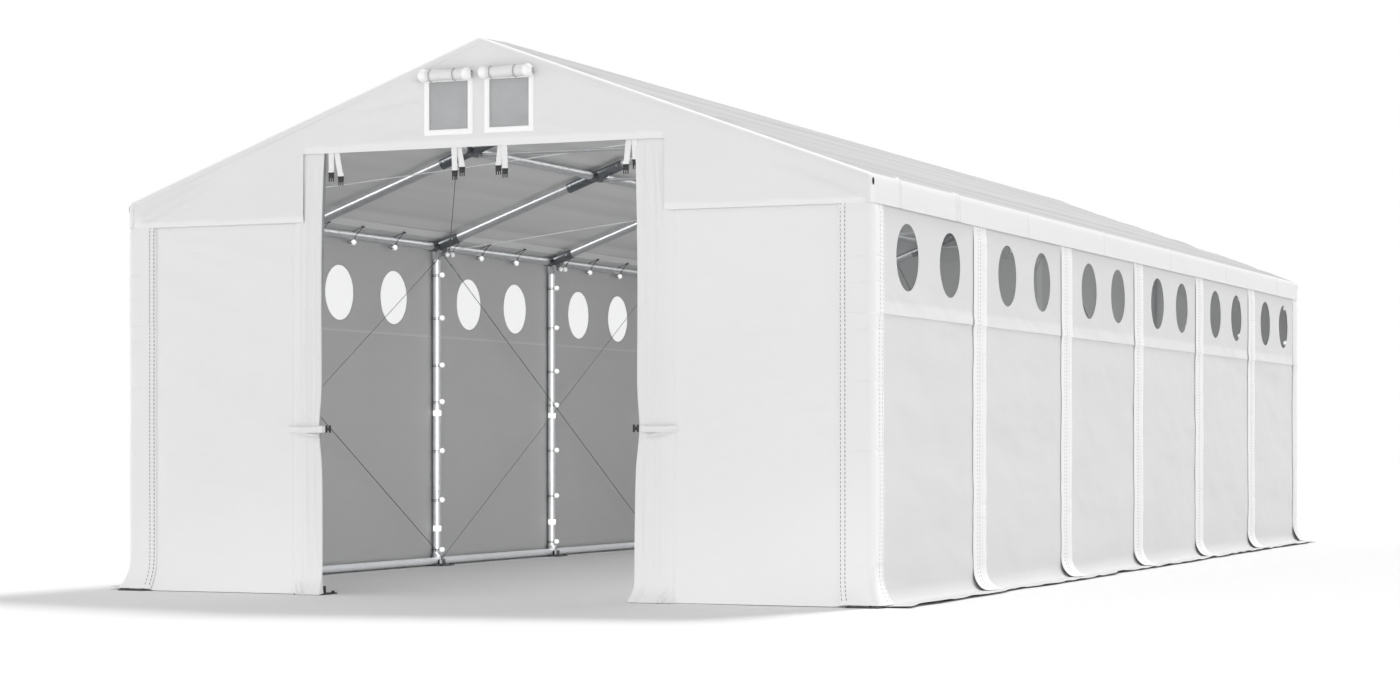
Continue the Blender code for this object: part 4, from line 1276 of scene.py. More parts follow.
def makeCurtain(word, side):
    # The plan line at every height, with the gathered folds, pleats and sags added to its front
    shape = curtainShape
    rows = np.concatenate([
        np.linspace(shape["top"], 1.12, 62), np.linspace(1.10, 0.90, 45), np.linspace(0.88, 0.20, 26),
        shape["bottom"] + 0.17 * (1 - np.linspace(0, 1, 16)) ** 1.3,
    ])
    edges = curtainEdge(word, rows)
    paths = [curtainPath(edge) for edge in edges]
    x, y, mark = (np.stack([path[k] for path in paths]) for k in range(3))
    z = rows[:, None] + 0 * x
    inward = x - edges[:, None]
    cinch = bell(z, shape["strapZ"], 0.16)
    swell = np.zeros_like(x)
    for k, (place, width, height) in enumerate(shape["folds"]):
        drift = 0.010 * softNoise(z / 0.7 + 3 * k, z * 0 + 2, 240 + side)
        tall = height * (1 + 0.45 * softNoise(z / 0.5 + 5 * k, z * 0 + 4, 243 + side))
        swell += tall * bell(inward, place * (1 - 0.18 * cinch) + drift, width * (1 - 0.25 * cinch))
    swell *= (1 - 0.55 * cinch) * ease(z, 0.02, 0.25)
    foot = np.clip((shape["footTop"] - z) / shape["footTop"], 0, 1) ** 2
    wall = gableSwell(side * x, z, side, -1)
    front = wall + swell + pullFolds(x, z, shape["pleats"] + shape["sags"])
    front = (front + shape["footOut"] * foot * ease(1.34 - x, 0, 0.12)) * (1 - ease(z, 2.60, 2.74))
    front = front - ease(z, 2.66, 2.75) * 0.002 - shape["tuck"] * ease(x, 1.283, 1.312)
    z = z - 0.0085 * mark * (1 - ease(z, shape["bottom"], 0.10))
    y = y + mark * front
    y = y + (1 - mark) * np.maximum(wall, 0) * ease(0.10 - z, 0, 0.1)
    x = x - 0.030 * foot * ease(0.16 - inward, 0, 0.14)
    grid = np.stack([side * x, -y, z], -1)
    # The curtain turns back on itself, so which side is out is told at its outer edge
    turned = np.cross(grid[1, 0] - grid[0, 0], grid[0, 1] - grid[0, 0])[1] > 0
    flat = np.stack([distances(x[40], y[40])[None] + 0 * x, z], -1)
    makeSheet(
        f"door_curtain_sheet_{word}", grid, flat, (0, -1, 0),
        (shape["outer"] + 0.06, shape["top"] - shape["bottom"]), "gathered",
        ["gable_header_sheet_front", f"door_post_tube_front_{word}"], ("tarpaulin",), f"door_curtain_{word}",
        doubled=0.1 * ease(x, 1.20, 1.30), turned=turned, sharp=60,
    )


def hexBolt(centre, axis, radius=0.008, height=0.006, finish=0):
    # A washer with a six-sided head on it
    centre, axis = np.asarray(centre, float), unit(np.asarray(axis, float))
    washer = straightTube(centre, centre + axis * height * 0.35, radius * 1.5, 0.0004, 18, finish)
    head = straightTube(centre + axis * height * 0.3, centre + axis * height * 1.2, radius, 0.0008, 6, finish)
    return [washer, head]


def strapRibbon(path, width, thick, normalHint, finish=0):
    # A flat strap along a path: a rounded rectangle carried along it, its wide side square to the hint
    path = np.asarray(path, float)
    tangent = unit(np.gradient(path, axis=0))
    wide = unit(np.cross(tangent, normalHint))
    high = np.cross(wide, tangent)
    turn = (np.arange(12) + 0.5) * math.pi / 6
    a = np.sign(np.cos(turn)) * (width - thick) / 2 + np.cos(turn) * thick / 2
    b = np.sin(turn) * thick / 2
    return loft(path[:, None] + a[:, None] * wide[:, None] + b[:, None] * high[:, None], finish=finish)


strapShape = {
    "z": 1.03,
    "outer": {"left": 1.366, "right": 1.327},
    "edge": {"left": 1.076, "right": 1.068},
    "width": 0.038,
    "thick": 0.0028,
    "standOff": 0.016,
    # place of the keeper, its distance from the wall, size and corner
    "keeper": (0.026, 0.0135, (0.026, 0.008, 0.043), 0.0035),
    # place along the strap and size of the buckle's two halves and of the bar between them
    "buckle": (
        (0.009, (0.012, 0.013, 0.046)),
        (0.022, (0.018, 0.011, 0.022)),
        (0.035, (0.012, 0.013, 0.046)),
    ),
    "buckleCorner": 0.004,
}


strapFinishes = ("polyesterWebbing", "mouldedNylon")


def makeDoorStrap(word, side):
    # The strap leaves the wall, stands off the gathered folds and ends in the buckle at the curtain's edge
    shape = strapShape
    share = np.linspace(0, 1, 24)
    edge, outer = shape["edge"][word], shape["outer"][word]
    x = outer + (edge - outer) * share
    off = 0.0075 + shape["standOff"] * np.sin(math.pi * np.clip(share * 1.02, 0, 1)) ** 0.8
    off = off - 0.012 * (1 - ease(share, 0, 0.12))
    z = shape["z"] - 0.006 * np.sin(math.pi * share)
    path = np.stack([side * x, -(tent["wallY"] + off), z], -1)
    place, ahead, size, corner = shape["keeper"]
    keeper = roundedBlock((side * (edge + place), -(tent["wallY"] + ahead), shape["z"] - 0.001), size, corner)
    parts = [strapRibbon(path, shape["width"], shape["thick"], (0, -1, 0)), keeper]
    front = -(tent["wallY"] + 0.008)
    parts += [
        roundedBlock((side * (edge - place), front, shape["z"]), size, shape["buckleCorner"], finish=1)
        for place, size in shape["buckle"]
    ]
    makePiece(f"door_strap_{word}", parts, strapFinishes, [f"door_curtain_{word}"])


hangingShape = {
    # each strap: its top's and its buckle's distance from the middle, and the buckle's lower end
    "straps": ((1.035, 1.035, 2.566), (1.000, 0.975, 2.540), (0.170, 0.175, 2.546), (0.150, 0.125, 2.566)),
    "top": 2.78,
    "width": 0.038,
    "thick": 0.0024,
    # half of a side-release buckle: place across, height over its lower end, size and corner of the body,
    # of the bar for the strap and of three prongs
    "buckle": (
        (0.0, 0.035, (0.036, 0.013, 0.026), 0.004),
        (0.0, 0.053, (0.041, 0.010, 0.011), 0.003),
        (-0.014, 0.013, (0.007, 0.006, 0.026), 0.0025),
        (0.0, 0.013, (0.006, 0.006, 0.026), 0.0025),
        (0.014, 0.013, (0.007, 0.006, 0.026), 0.0025),
    ),
}


def makeHangingStraps():
    # Each strap hangs down from the header, leans to its buckle's place and sways a little
    shape, parts = hangingShape, []
    for side in (-1, 1):
        for k, (top, x, bottom) in enumerate(shape["straps"]):
            y = -(tent["gableY"] - 0.006) + 0.005 * (k % 2)
            height = np.linspace(shape["top"], bottom + 0.05, 12)
            down = (shape["top"] - height) / (shape["top"] - 0.05 - bottom)
            place = top + (x - top) * down + 0.004 * np.sin(height * 9 + x * 40) * down
            path = np.stack([side * place, y + 0.010 * ease(down, 0.0, 1.0), height], -1)
            parts.append(strapRibbon(path, shape["width"], shape["thick"], (0, -1, 0)))
            parts.append(roundedBlock(path[-1] + (0, 0, 0.016), (0.0395, 0.0075, 0.022), 0.003))
            parts += [
                roundedBlock((path[-1, 0] + step, path[-1, 1], bottom + above), size, corner, finish=1)
                for step, above, size, corner in shape["buckle"]
            ]
    makePiece("hanging_straps", parts, strapFinishes, ["gable_header_front"])


doorShape = {
    "outer": 1.29,
    "overlap": 0.06,
    "top": 2.782,
    "bottom": 0.012,
    "straps": (0.45, 1.03, 1.75, 2.30),
    "strapHalf": 0.15,
    "strapWidth": 0.026,
    "strapThick": 0.0024,
    # place across and size of the buckle's blocks
    "buckle": ((-0.020, (0.012, 0.011, 0.036)), (0.0, (0.030, 0.011, 0.026)), (0.020, (0.012, 0.011, 0.036))),
    "buckleOut": 0.0165,
    "patch": (0.03, 0.004, 0.030),       # where the strap is sewn on
}


def makeBackDoor(word, side):
    # The closed door: two leaves that overlap in the middle, the left one on top
    shape = doorShape
    low = shape["bottom"] + 0.21 * (1 - np.linspace(0, 1, 12)) ** 1.4
    rows = np.concatenate([np.linspace(shape["top"], 0.24, 84), low])
    z, x = np.meshgrid(rows, np.linspace(-shape["overlap"], shape["outer"], 66), indexing="ij")
    swell = slackFolds(x + 20, z + 20, 260 + side, (0.7, 0.28), 0.005)
    swell *= ease(x, 0.06, 0.30) * (1 - ease(x, 1.10, 1.26)) * (1 - ease(z, 2.20, 2.30)) * ease(z, 0.03, 0.30)
    foot = np.clip((gableShape["flareTop"] - z) / gableShape["flareTop"], 0, 1) ** 2
    onTop = 0.0028 * (1 - ease(x, 0.06, 0.16)) * (side < 0)
    y = tent["wallY"] + 0.0026 + np.maximum(swell, -0.001) + onTop + gableShape["flareOut"] * foot * 1.05
    hem = 1 - ease(x + shape["overlap"], 0.05, 0.054)
    size = (shape["outer"] + shape["overlap"], shape["top"] - shape["bottom"])
    makeSheet(
        f"back_door_{word}", np.stack([side * x, y, z], -1), np.stack([x, z], -1), (0, 1, 0.1), size, "hung",
        ["gable_header_sheet_back"], node="back_wall", doubled=0.1 + 0.3 * hem,
    )


def makeBackStraps():
    # Straps across the door's overlap, bowed outwards, each with a buckle and a sewn patch at both ends
    shape, parts = doorShape, []
    share = np.linspace(-1, 1, 21)
    flush, front = tent["wallY"] + 0.0095, tent["wallY"] + shape["buckleOut"]
    sewn = shape["strapHalf"] - 0.005
    for height in shape["straps"]:
        bow = flush + 0.005 * (1 - share ** 2)
        path = np.stack([shape["strapHalf"] * share, bow, np.full_like(share, height)], -1)
        parts.append(strapRibbon(path, shape["strapWidth"], shape["strapThick"], (0, 1, 0)))
        for place, size in shape["buckle"]:
            parts.append(roundedBlock((place, front, height), size, 0.004, finish=1))
        parts += [roundedBlock((way * sewn, flush, height), shape["patch"], 0.0018) for way in (-1, 1)]
    makePiece("back_door_straps", parts, strapFinishes, ["back_wall"])


for word, side in sideSigns.items():
    for end, way in endSigns.items():
        makeGableWall(end, way, word, side)
    makeCurtain(word, side)
    makeDoorStrap(word, side)
    makeBackDoor(word, side)
makeHangingStraps()
makeBackStraps()
print("gable walls and door ready")


# Steel frame

steelShape = {
    "tube": 0.032,
    "rail": 0.030,
    "ground": 0.028,
    "stub": 0.0365,
    "elbow": 0.0372,
    "doorStub": 0.0351,
    "tie": 0.0112,
    "eaveArm": 0.20,
    "ridgeArm": 0.24,
    "middleArm": 0.24,
    "stubArm": 0.10,
    "elbowBottom": 2.36,
    "doorStubBottom": 2.86,
    "socketTop": 0.09,
    "plateSide": 0.20,
    "plateThick": 0.008,
    "groundZ": 0.037,
    "knuckle": 0.012,
    "postTop": 2.3595,
    "doorPostTop": 2.859,
    "joint": 0.579,
    "bolts": (0.693, 0.605),
    "boltOut": 0.0316,
    "labels": (1.174, 0.286),
    "labelHalf": 0.021,
    "socketBolt": (0.0375, 0.066),       # distance from the post's axis, and height
}
# the connectors' finish is galvanised steel painted darker as shade
steelFinishes = ("galvanisedSteel", "connectorSteel", "zincBolt")
footFinishes = ("galvanisedSteel", "zincBolt", "blackPowderCoat")


def axisZ(x):
    # Height of the rafters' and rails' axes at this distance from the middle
    return tent["ridgeTop"] - axisDrop - tent["slope"] * abs(x)


def onRafter(side, x, y, drop=0.0):
    # A point of the rafter's axis, moved square to the roof by the drop
    return np.array([side * (x - drop * math.sin(roofAngle)), y, axisZ(x) - drop * math.cos(roofAngle)])


def alongRafter(side, x, y, distance):
    # A point of the axis that lies this far up the slope from x
    return onRafter(side, x - distance * math.cos(roofAngle), y)


def postTube(x, y, top, side):
    # The lower tube goes into the upper one at the joint, which ends in a small lip
    shape, joint = steelShape, steelShape["joint"]
    lower = tube(
        [(x, y, z) for z in (0.0906, 0.0916, 0.30, joint + 0.02)], [0.029, 0.0302, 0.0302, 0.0302], 28,
    )
    upper = tube(
        [(x, y, z) for z in (joint, joint + 0.0015, joint + 0.012, joint + 0.014, 1.4, top - 0.002, top)],
        [0.0318, 0.0335, 0.0335, 0.0320, 0.0320, 0.0320, 0.0305], 28,
    )
    parts = [lower, upper]
    direction = unit(np.array([side * 0.5, -0.87, 0.0]))
    for z in shape["bolts"]:
        for out in (direction, -direction):
            parts += hexBolt(np.array([x, y, z]) + out * shape["boltOut"], out, 0.0062, 0.005, 1)
    for z in shape["labels"]:
        low, high = (x, y, z - shape["labelHalf"]), (x, y, z + shape["labelHalf"])
        parts.append(straightTube(low, high, 0.0335, 0.0006, 28, 2))
    return parts


def makePosts():
    # The wall posts, then the door posts on their own feet, without bolts and labels
    finishes = ("galvanisedSteel", "zincBolt", "blankLabel")
    for word, side in sideSigns.items():
        for i, y in enumerate(tent["archY"]):
            parts = postTube(side * tent["postX"], y, steelShape["postTop"], side)
            node = f"post_{word}_{i + 1}"
            makePiece(f"post_tube_{word}_{i + 1}", parts, finishes, [node])
    for end, i in (("front", 0), ("back", 6)):
        for word, side in sideSigns.items():
            x, y = side * tent["doorPostX"], tent["archY"][i]
            parts = postTube(x, y, steelShape["doorPostTop"], side)[:2] + footParts(x, y)
            if (end, word) == ("front", "left"):
                for part in parts:
                    upright = ease(part["points"][:, 2], 1.9, steelShape["doorPostTop"])
                    part["points"][:, 0] += side * tent["doorPostLean"] * (1 - upright)
            name = f"door_post_tube_{end}_{word}"
            makePiece(name, parts, footFinishes, [f"door_post_{end}_{word}"])


def footParts(x, y):
    # A base plate with four anchor screws, and the socket with its clamping bolt and four ribs
    shape = steelShape
    side, thick = shape["plateSide"], shape["plateThick"]
    parts = [roundedBlock((x, y, thick / 2), (side, side, thick), 0.0035, finish=2)]
    parts.append(straightTube((x, y, thick * 0.5), (x, y, shape["socketTop"]), tent["sleeve"], 0.0025, 28))
    for turn in (45, 135, 225, 315):
        angle = math.radians(turn)
        out = np.array([math.cos(angle), math.sin(angle), 0.0])
        middle = np.array([x, y, thick]) + out * 0.112
        parts += hexBolt(middle, (0, 0, 1), 0.0095, 0.010, 2)
        foot = np.array([x, y, 0.028]) + out * 0.050
        axes = (out, (-out[1], out[0], 0), (0, 0, 1))
        parts.append(roundedBlock(foot, (0.034, 0.005, 0.044), 0.002, axes, 2))
    reach, height = shape["socketBolt"]
    for way in (1, -1):
        parts += hexBolt((x + way * reach, y, height), (way, 0, 0), 0.008, 0.007, 1)
    return parts


def sleeveParts(start, end, radius, boltSide):
    # A connector sleeve with a hexagon bolt near each end
    start, end = np.asarray(start, float), np.asarray(end, float)
    along = unit(end - start)
    out = unit(np.cross(along, boltSide))
    parts = [straightTube(start, end, radius, 0.003, 26, 1)]
    for place in (start + along * 0.035, end - along * 0.035):
        parts += hexBolt(place + out * (radius - 0.0006), out, 0.0055, 0.005, 2)
    return parts


def railTube(x):
    # A rail from the first arch to the last
    low, high = tent["archY"][[0, -1]]
    return straightTube((x, low, axisZ(x)), (x, high, axisZ(x)), steelShape["rail"], 0.002, 28)


def railStub(x, i):
    # The connector's sleeve on a rail at one arch; at the end arches it points inwards only
    low = tent["archY"][i] - steelShape["stubArm"] * (i > 0)
    high = tent["archY"][i] + steelShape["stubArm"] * (i < 6)
    return straightTube((x, low, axisZ(x)), (x, high, axisZ(x)), steelShape["stub"], 0.003, 26, 1)


def makeRoofTubes(word, side):
    # Two rails, and at every arch the rafter with its eave elbow, its middle connector and the rails' sleeves
    shape = steelShape
    railPlaces = (tent["postX"], tent["doorPostX"])
    parts = [railTube(side * x) for x in railPlaces]
    for i, y in enumerate(tent["archY"]):
        eave, top = onRafter(side, tent["postX"], y), onRafter(side, 0.0, y)
        top = top - unit(top - eave) * (shape["ridgeArm"] + 0.0004)
        parts.append(straightTube(eave, top, shape["tube"], 0.002, 28))
        low = alongRafter(side, tent["postX"], y, -shape["knuckle"])
        high = alongRafter(side, tent["postX"], y, shape["eaveArm"])
        parts += sleeveParts(low, high, tent["sleeve"], (0, 0, 1))[:1]
        parts += hexBolt(high - unit(high - low) * 0.04 + (0, -0.0376, 0), (0, -1, 0), 0.0055, 0.005, 2)
        foot = (eave[0], y, shape["elbowBottom"])
        parts.append(straightTube(foot, eave + (0, 0, 0.008), shape["elbow"], 0.002, 28))
        place = (eave[0] - side * 0.02, y - 0.0312, 2.395)
        parts += hexBolt(place, (-side * 0.5, -0.87, 0), 0.0062, 0.005, 2)
        arm = shape["middleArm"]
        low, high = (alongRafter(side, tent["doorPostX"], y, reach) for reach in (-arm, arm))
        parts += sleeveParts(low, high, tent["sleeve"], (0, 0, 1))
        parts += [railStub(side * x, i) for x in railPlaces]
        if i in (0, 6):
            x = side * tent["doorPostX"]
            head = (x, y, axisZ(x) - 0.005)
            parts.append(straightTube((x, y, shape["doorStubBottom"]), head, shape["doorStub"], 0.002, 26, 1))
    makePiece(f"roof_tubes_{word}", parts, steelFinishes, [f"roof_frame_{word}"])


def makeRidgeTube():
    # The ridge rail with its sleeves and both rafters' connectors at every arch
    parts = [railTube(0)]
    for i, y in enumerate(tent["archY"]):
        top = onRafter(1, 0.0, y)
        for side in (-1, 1):
            down = unit(onRafter(side, tent["postX"], y) - top)
            parts += sleeveParts(top, top + down * steelShape["ridgeArm"], tent["sleeve"], (0, 0, 1))
        parts.append(railStub(0, i))
    makePiece("ridge_tube", parts, steelFinishes, ["ridge_rail"])


def makeCollarTies():
    # A thin tube whose ends are pressed flat and bolted under the middle connectors
    shape = steelShape
    z = axisZ(tent["doorPostX"]) - 0.028
    reach = tent["doorPostX"] - 0.064
    x = spread((-reach, 0), (-reach + 0.05, 6), (reach - 0.05, 12), (reach, 6))
    pressed = ease(np.abs(x), reach - 0.045, reach - 0.020)[:, None]
    turn = np.linspace(0, 2 * math.pi, 18, endpoint=False)
    deep = shape["tie"] * (1 - 0.62 * pressed) * np.cos(turn)
    tall = shape["tie"] * (1 + 0.45 * pressed) * np.sin(turn)
    for i, y in enumerate(tent["archY"]):
        parts = [loft(np.stack([x[:, None] + 0 * deep, y + deep, z + tall], -1))]
        for side in (-1, 1):
            parts += hexBolt((side * (reach - 0.012), y - 0.0030, z), (0, -1, 0), 0.005, 0.005, 1)
        name = f"collar_tie_tube_{i + 1}"
        makePiece(name, parts, ("galvanisedSteel", "zincBolt"), [f"collar_tie_{i + 1}"])


def makeGroundTubes(word, side):
    # The ground rail through the posts' feet
    x, z = side * tent["postX"], steelShape["groundZ"]
    low, high = tent["archY"][[0, -1]]
    parts = [straightTube((x, low, z), (x, high, z), steelShape["ground"], 0.002, 28)]
    for y in tent["archY"]:
        parts += footParts(x, y)
    makePiece(f"ground_tubes_{word}", parts, footFinishes, [f"base_rail_{word}"])


cableShape = {
    # radii by the rope's painted look: shade, dim and lit
    "dark": 0.0026,
    "dull": 0.0022,
    "bright": 0.0034,
    "wallBottom": 0.06,
    "wallTop": 2.40,
    "wallInset": 0.0464,
    "eaveInset": 0.085,
    "ridgeInset": 0.15,
    "roofDrop": 0.0652,
    "over": 0.003,           # how far the upper cable of a cross lies off the lower one
    "anchor": (0.014, 0.022, 0.036),
    # the tightener's body and screws: both ends' distance from the cable's top, radius, edge and sides
    "tightener": ((0.14, 0.24, 0.0070, 0.002, 12), (0.11, 0.27, 0.0042, 0.001, 10)),
}


def cableParts(low, high, over, pale):
    # Crosses over two bays each: a pale cable and a dark one over it, each with a tightener near its top.
    # Pale and dark are painted light and shade on one wire.
    # low and high give the place of the cables' ends at an arch.
    shape, parts = cableShape, []
    for i in range(0, 7, 2):
        for point in (low, high):
            parts.append(roundedBlock(point(tent["archY"][i]), shape["anchor"], 0.004, finish=2))
    for i in range(0, 6, 2):
        here, there = tent["archY"][i], tent["archY"][i + 2]
        ropes = ((high(there), low(here), pale, 0), (high(here) + over, low(there) + over, "dark", 1))
        for top, bottom, kind, finish in ropes:
            down = unit(bottom - top)
            parts.append(straightTube(top, bottom, shape[kind], 0.0008, 10, finish))
            for start, end, *look in shape["tightener"]:
                parts.append(straightTube(top + down * start, top + down * end, *look, 2))
    return parts


def makeCables(word, side):
    # The wall's crosses lie inside the posts, the roof's under the rafters
    shape = cableShape
    x = side * (tent["postX"] - shape["wallInset"])
    wall = cableParts(
        lambda y: np.array([x, y, shape["wallBottom"]]), lambda y: np.array([x, y, shape["wallTop"]]),
        shape["over"] * np.array([-side, 0.0, 0.0]), "dull",
    )
    roof = cableParts(
        lambda y: onRafter(side, tent["postX"] - shape["eaveInset"], y, shape["roofDrop"]),
        lambda y: onRafter(side, shape["ridgeInset"], y, shape["roofDrop"]),
        shape["over"] * np.array([-side * math.sin(roofAngle), 0.0, -math.cos(roofAngle)]), "bright",
    )
    # the wall's pale cables are painted dim, the roof's painted lit
    for place, parts, pale in (("wall", wall, "dullWireRope"), ("roof", roof, "brightWireRope")):
        finishes = (pale, "wireRope", "zincBolt")
        makePiece(f"{place}_cables_{word}", parts, finishes, [f"{place}_bracing_{word}"])


bungeeShape = {
    "ballRadius": 0.0225,
    "cord": 0.0026,
    "tilt": 0.12,
    # on the posts: heights, the balls' and cords' distance from the axis, and the two cords' lift
    "heights": (2.238, 1.907, 1.544, 1.262, 0.885, 0.506, 0.123),
    "ballOut": 0.0545,
    "cordOut": 0.0345,
    "lifts": (-0.0055, 0.0055),
    # at the eave: places from the bays' middles and from the arches
    "fromMiddles": (-0.305, 0.305),
    "fromArches": (0.125, 0.21),
    # points from the eave rail's axis: outwards, along the tent and up
    "ball": (-0.020, 0.0, -0.049),
    "over": (-0.037, 0.012, 0.004),
    "under": (0.008, -0.002, -0.0345),
    "outer": (0.0335, -0.004, -0.002),
    "crown": (-0.005, 0.02, 0.0330),
    "tail": ((0, -0.060, -0.010), (0, -0.095, 0.006)),   # from the ball
    # on the band: distance from the middle, step along the tent, and drop from the rafters' axis
    "hook": (2.392, 0.045, -0.0355),
    "knot": (0.014, 0.030, 0.010),
}


def cordRing(centre, lift, start):
    # A cord once round a post, level apart from a slight tilt, that starts and ends inside its ball
    angle = start + np.linspace(0, 2 * math.pi, 30)
    ring = np.stack([np.cos(angle), np.sin(angle), bungeeShape["tilt"] * np.sin(angle - start)], -1)
    return tube(ring * bungeeShape["cordOut"] + centre + (0, 0, lift), bungeeShape["cord"], 6, (0, 0, 1))


def makeBungees(word, side):
    # Elastic loops with a ball: round every post, and over the eave rail up to the band under the roof
    shape = bungeeShape
    cords, balls = [], []
    direction = unit(np.array([-side * 0.95, -0.30, 0.0]))
    start = math.atan2(direction[1], direction[0])
    for y in tent["archY"]:
        for z in shape["heights"]:
            centre = np.array([side * tent["postX"], y, z])
            balls.append(ball(centre + direction * shape["ballOut"], shape["ballRadius"]))
            cords += [cordRing(centre, lift, start) for lift in shape["lifts"]]
    eaveZ = axisZ(tent["postX"])
    places = [bayMiddles + step for step in shape["fromMiddles"]]
    places += [tent["archY"][:-1] + step for step in shape["fromArches"]]
    hookX, hookAlong, hookDrop = shape["hook"]
    for y in np.concatenate(places):
        centre, over, under, outer, crown = (
            np.array([side * (tent["postX"] + out), y + along, eaveZ + up])
            for out, along, up in (shape[point] for point in ("ball", "over", "under", "outer", "crown"))
        )
        band = onRafter(side, hookX, y + hookAlong, hookDrop)
        balls.append(ball(centre, shape["ballRadius"]))
        for points in ([centre, over, band], [centre, under, outer, crown, band]):
            cords.append(tube(bendPath(points), shape["cord"], 6, (0, 1, 0.2)))
        cords.append(roundedBlock(band, shape["knot"], 0.004))
        tail = bendPath([centre] + [centre + step for step in shape["tail"]])
        cords.append(tube(tail, shape["cord"], 6, (0, 0, 1)))
    makePiece(f"bungee_cords_{word}", cords, ["elasticCord"])
    makePiece(f"bungee_balls_{word}", balls, ["mouldedWhitePlastic"])


def bendPath(corners, steps=8):
    # A smooth line through the corners: each stretch blends from one to the next with the neighbours' slope
    corners = np.asarray(corners, float)
    slope = np.gradient(corners, axis=0)
    share = np.linspace(0, 1, steps + 1)[:-1, None]
    a, b = 2 * share ** 3 - 3 * share ** 2 + 1, share ** 3 - 2 * share ** 2 + share
    c, d = 3 * share ** 2 - 2 * share ** 3, share ** 3 - share ** 2
    stretches = [
        a * corners[k] + b * slope[k] + c * corners[k + 1] + d * slope[k + 1] for k in range(len(corners) - 1)
    ]
    return np.vstack(stretches + [corners[-1:]])


bandShape = {
    "inner": 2.349,
    "outer": 2.432,
    "end": 5.94,
    "flatWidth": 0.0885,     # along the slope
    "drop": 0.0042,
    "sag": 0.0010,
    "flutter": 0.0008,
}


def makeEaveBand(word, side):
    # The strip sewn under the roof along the eave, where the elastic loops are hooked in
    shape = bandShape
    inner, outer, end = shape["inner"], shape["outer"], shape["end"]
    y, x = np.meshgrid(np.linspace(-end, end, 360), np.linspace(inner, outer, 7), indexing="ij")
    height = tent["ridgeTop"] - tent["slope"] * x
    hang = shape["sag"] * np.sin(math.pi * (x - inner) / (outer - inner))
    hang += shape["flutter"] * (1 + softNoise(y / 0.4 + 30, x * 3, 300 + side))
    above = roofLift(side * x / math.cos(roofAngle), height, y) - shape["drop"] - hang
    # the band takes the inner face's painted shade, blended part way to white
    makeSheet(
        f"eave_band_{word}", np.stack([side * x, y, height + above / math.cos(roofAngle)], -1),
        np.stack([y, x], -1), (0, 0, -1), (2 * end, shape["flatWidth"]), "stretched", ["roof_cover_sheet"],
        ("innerTarpaulin",), doubled=0.45,
    )


makePosts()
makeRidgeTube()
makeCollarTies()
for word, side in sideSigns.items():
    makeRoofTubes(word, side)
    makeGroundTubes(word, side)
    makeCables(word, side)
    makeBungees(word, side)
    makeEaveBand(word, side)
print("steel frame ready")


# Studio: a pale floor, white surroundings, a key from behind, fills in front, at the left and inside,
# and lamps for the floor inside, for the cloth's foot and for the steel alone

studioShape = {
    "floorHalf": 120.0,
    "floorPoints": 41,
    "skyLow": 1.31,
    "skyHigh": 0.46,
    "skyLean": (-0.09, -0.01, 0.0),      # the gable gets more light than the long wall
    # the key, a sun: place, the way it shines, its strength and how wide it looks
    "key": ((0, 10, 12), (-0.16, -0.63, -1.0), 1.9, 12.0),
    # area lamps: place, the way they shine, width, height, power and the rays that miss them, and for some
    # the collection of pieces that they light, with words of the pieces' names
    "areaLamps": {
        "inside_fill": ((1.9, -0.6, 1.25), (-1, 0, 0.12), 10.4, 2.4, 108.0, ("camera", "glossy")),
        "front_fill": ((3, -15, 1.8), (-0.18, 1, 0), 14.0, 1.0, 130.0, ("camera",)),
        "left_fill": ((-13, -12.5, 1.4), (13, 6.5, 0), 3.0, 2.4, 132.0, ("camera",)),
        # the floor inside gets the cover's light back
        "floor_fill": (
            (0.0, 0.0, 0.90), (0, 0, -1), 4.4, 11.0, 23.0, ("camera", "glossy"),
            "inside_floor", ("studio_floor",),
        ),
        # the cloth near the ground gets the ground's light back
        "foot_fill": (
            (0.0, -6.75, 0.05), (0, 1, 0.25), 5.6, 0.06, 5.5, ("camera",),
            "front_cloth", ("gable_wall_front", "door_curtain", "corner_flap_front"),
        ),
    },
    # suns for the steel alone: words of the pieces they light, the way they shine, strength, width in degrees
    "steelPlace": (3, -8, 4),
    "steelLamps": (
        (("post_tube_left", "post_tube_right", "bungee_balls"), (-0.42, 0.85, -0.30), 5.2, 40.0),
        (("ground_tubes",), (-0.75, 0.30, -0.60), 5.5, 30.0),
        (("roof_tubes", "ridge_tube", "collar_tie", "roof_cables"), (0.75, 0.50, -0.45), 1.7, 16.0),
        (("roof_tubes", "ridge_tube", "roof_cables"), (-0.60, -0.75, -0.50), 1.4, 16.0),
    ),
}


def makeFloor():
    # A level square grid under the tent
    line = np.linspace(-1, 1, studioShape["floorPoints"]) * studioShape["floorHalf"]
    x, y = np.meshgrid(line, line, indexing="ij")
    points = np.stack([x, y, 0 * x], -1).reshape(-1, 3)
    mesh = bpy.data.meshes.new("studio_floor")
    mesh.from_pydata(points.tolist(), [], gridFaces(*x.shape).tolist())
    mesh.materials.append(coats["studioFloor"])
    floor = bpy.data.objects.new("studio_floor", mesh)
    bpy.context.scene.collection.objects.link(floor)


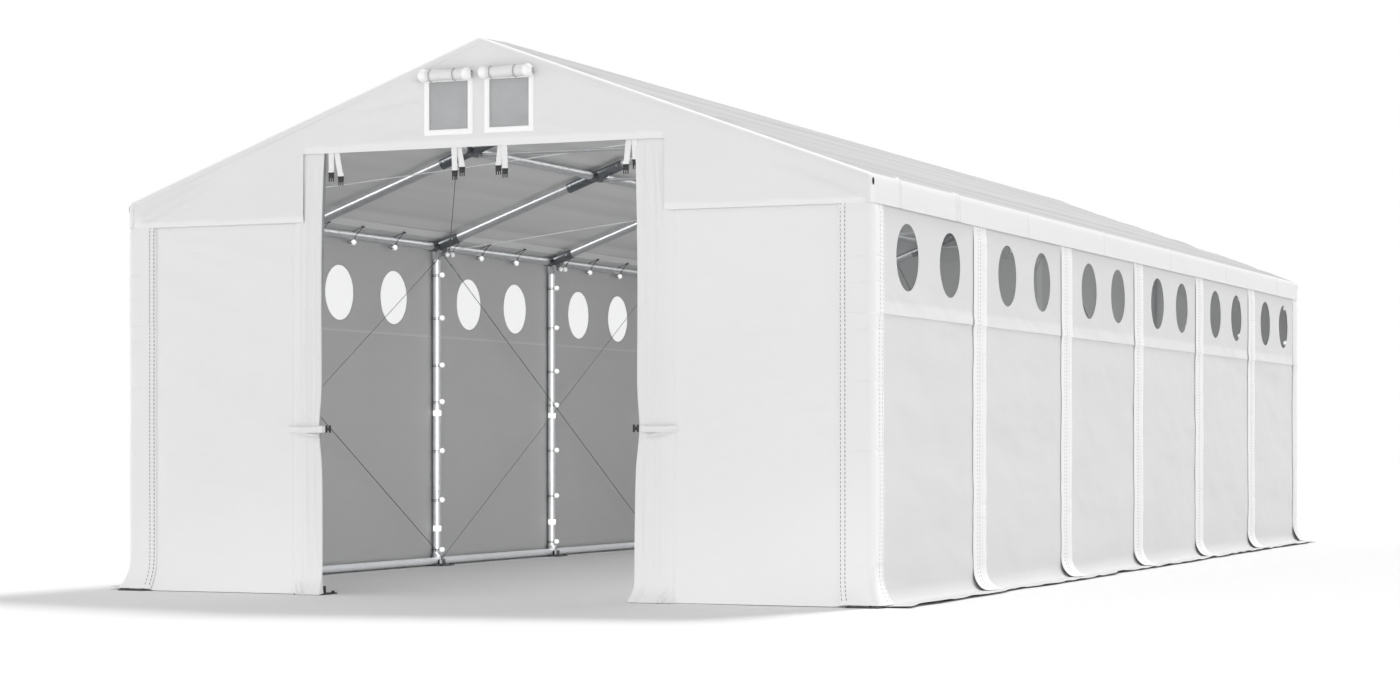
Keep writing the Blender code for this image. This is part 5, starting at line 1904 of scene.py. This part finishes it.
def makeSurroundings():
    # White for the camera; as light, paler near the horizon than overhead
    world = bpy.data.worlds.new("studio")
    bpy.context.scene.world = world
    world.use_nodes = True
    tree = world.node_tree
    shown = tree.nodes["Background"]
    shown.inputs["Color"].default_value = (1, 1, 1, 1)
    direction = addNode(tree, "ShaderNodeTexCoord").outputs["Generated"]
    height = addNode(tree, "ShaderNodeSeparateXYZ", None, {"Vector": direction}).outputs["Z"]
    ranges = {"To Min": studioShape["skyLow"], "To Max": studioShape["skyHigh"]}
    strength = addNode(tree, "ShaderNodeMapRange", ranges, {"Value": height})
    tilt = {1: studioShape["skyLean"]}
    lean = addNode(tree, "ShaderNodeVectorMath", tilt, {0: direction}, operation="DOT_PRODUCT")
    sides = {0: strength.outputs["Result"], 1: lean.outputs["Value"]}
    total = addNode(tree, "ShaderNodeMath", None, sides, operation="ADD")
    glow = addNode(tree, "ShaderNodeBackground", {"Color": (1, 1, 1, 1)}, {"Strength": total.outputs[0]})
    seen = addNode(tree, "ShaderNodeLightPath").outputs["Is Camera Ray"]
    both = addNode(tree, "ShaderNodeMixShader", None, {0: seen, 1: glow.outputs[0], 2: shown.outputs[0]})
    tree.links.new(both.outputs[0], tree.nodes["World Output"].inputs["Surface"])


def addLight(name, kind, place, aim, hiddenFrom=("camera",), **settings):
    # A lamp that shines along its aim
    lamp = bpy.data.lights.new(name, kind)
    for key, value in settings.items():
        setattr(lamp, key, value)
    holder = bpy.data.objects.new(name, lamp)
    holder.location = place
    holder.rotation_euler = Vector(aim).to_track_quat("-Z", "Y").to_euler()
    for rays in hiddenFrom:
        setattr(holder, f"visible_{rays}", False)
    bpy.context.scene.collection.objects.link(holder)
    return holder


def addSun(name, place, aim, strength, angle):
    # A sun whose width is given in degrees
    return addLight(name, "SUN", place, aim, energy=strength, angle=math.radians(angle))


def gathered(name, words):
    # A collection of the pieces whose names hold one of the words
    group = bpy.data.collections.new(name)
    for piece in bpy.context.scene.collection.objects:
        if any(word in piece.name for word in words):
            group.objects.link(piece)
    return group


def makeLights():
    # Only the steel shades the lamps that light the steel alone: they draw the bright streaks on the tubes
    addSun("key", *studioShape["key"])
    for name, (place, aim, wide, tall, power, hiddenFrom, *lit) in studioShape["areaLamps"].items():
        lamp = addLight(
            name, "AREA", place, aim, hiddenFrom, shape="RECTANGLE", size=wide, size_y=tall, energy=power
        )
        if lit:
            lamp.light_linking.receiver_collection = gathered(*lit)
    steelwork = gathered("steelwork", ("_tube",))
    for number, (words, *look) in enumerate(studioShape["steelLamps"]):
        lamp = addSun(f"steel_lamp_{number + 1}", studioShape["steelPlace"], *look)
        lamp.light_linking.receiver_collection = gathered(f"lit_{number + 1}", words)
        lamp.light_linking.blocker_collection = steelwork


makeFloor()
makeSurroundings()
makeLights()
bpy.context.scene.view_settings.view_transform = "Standard"
print("studio ready")
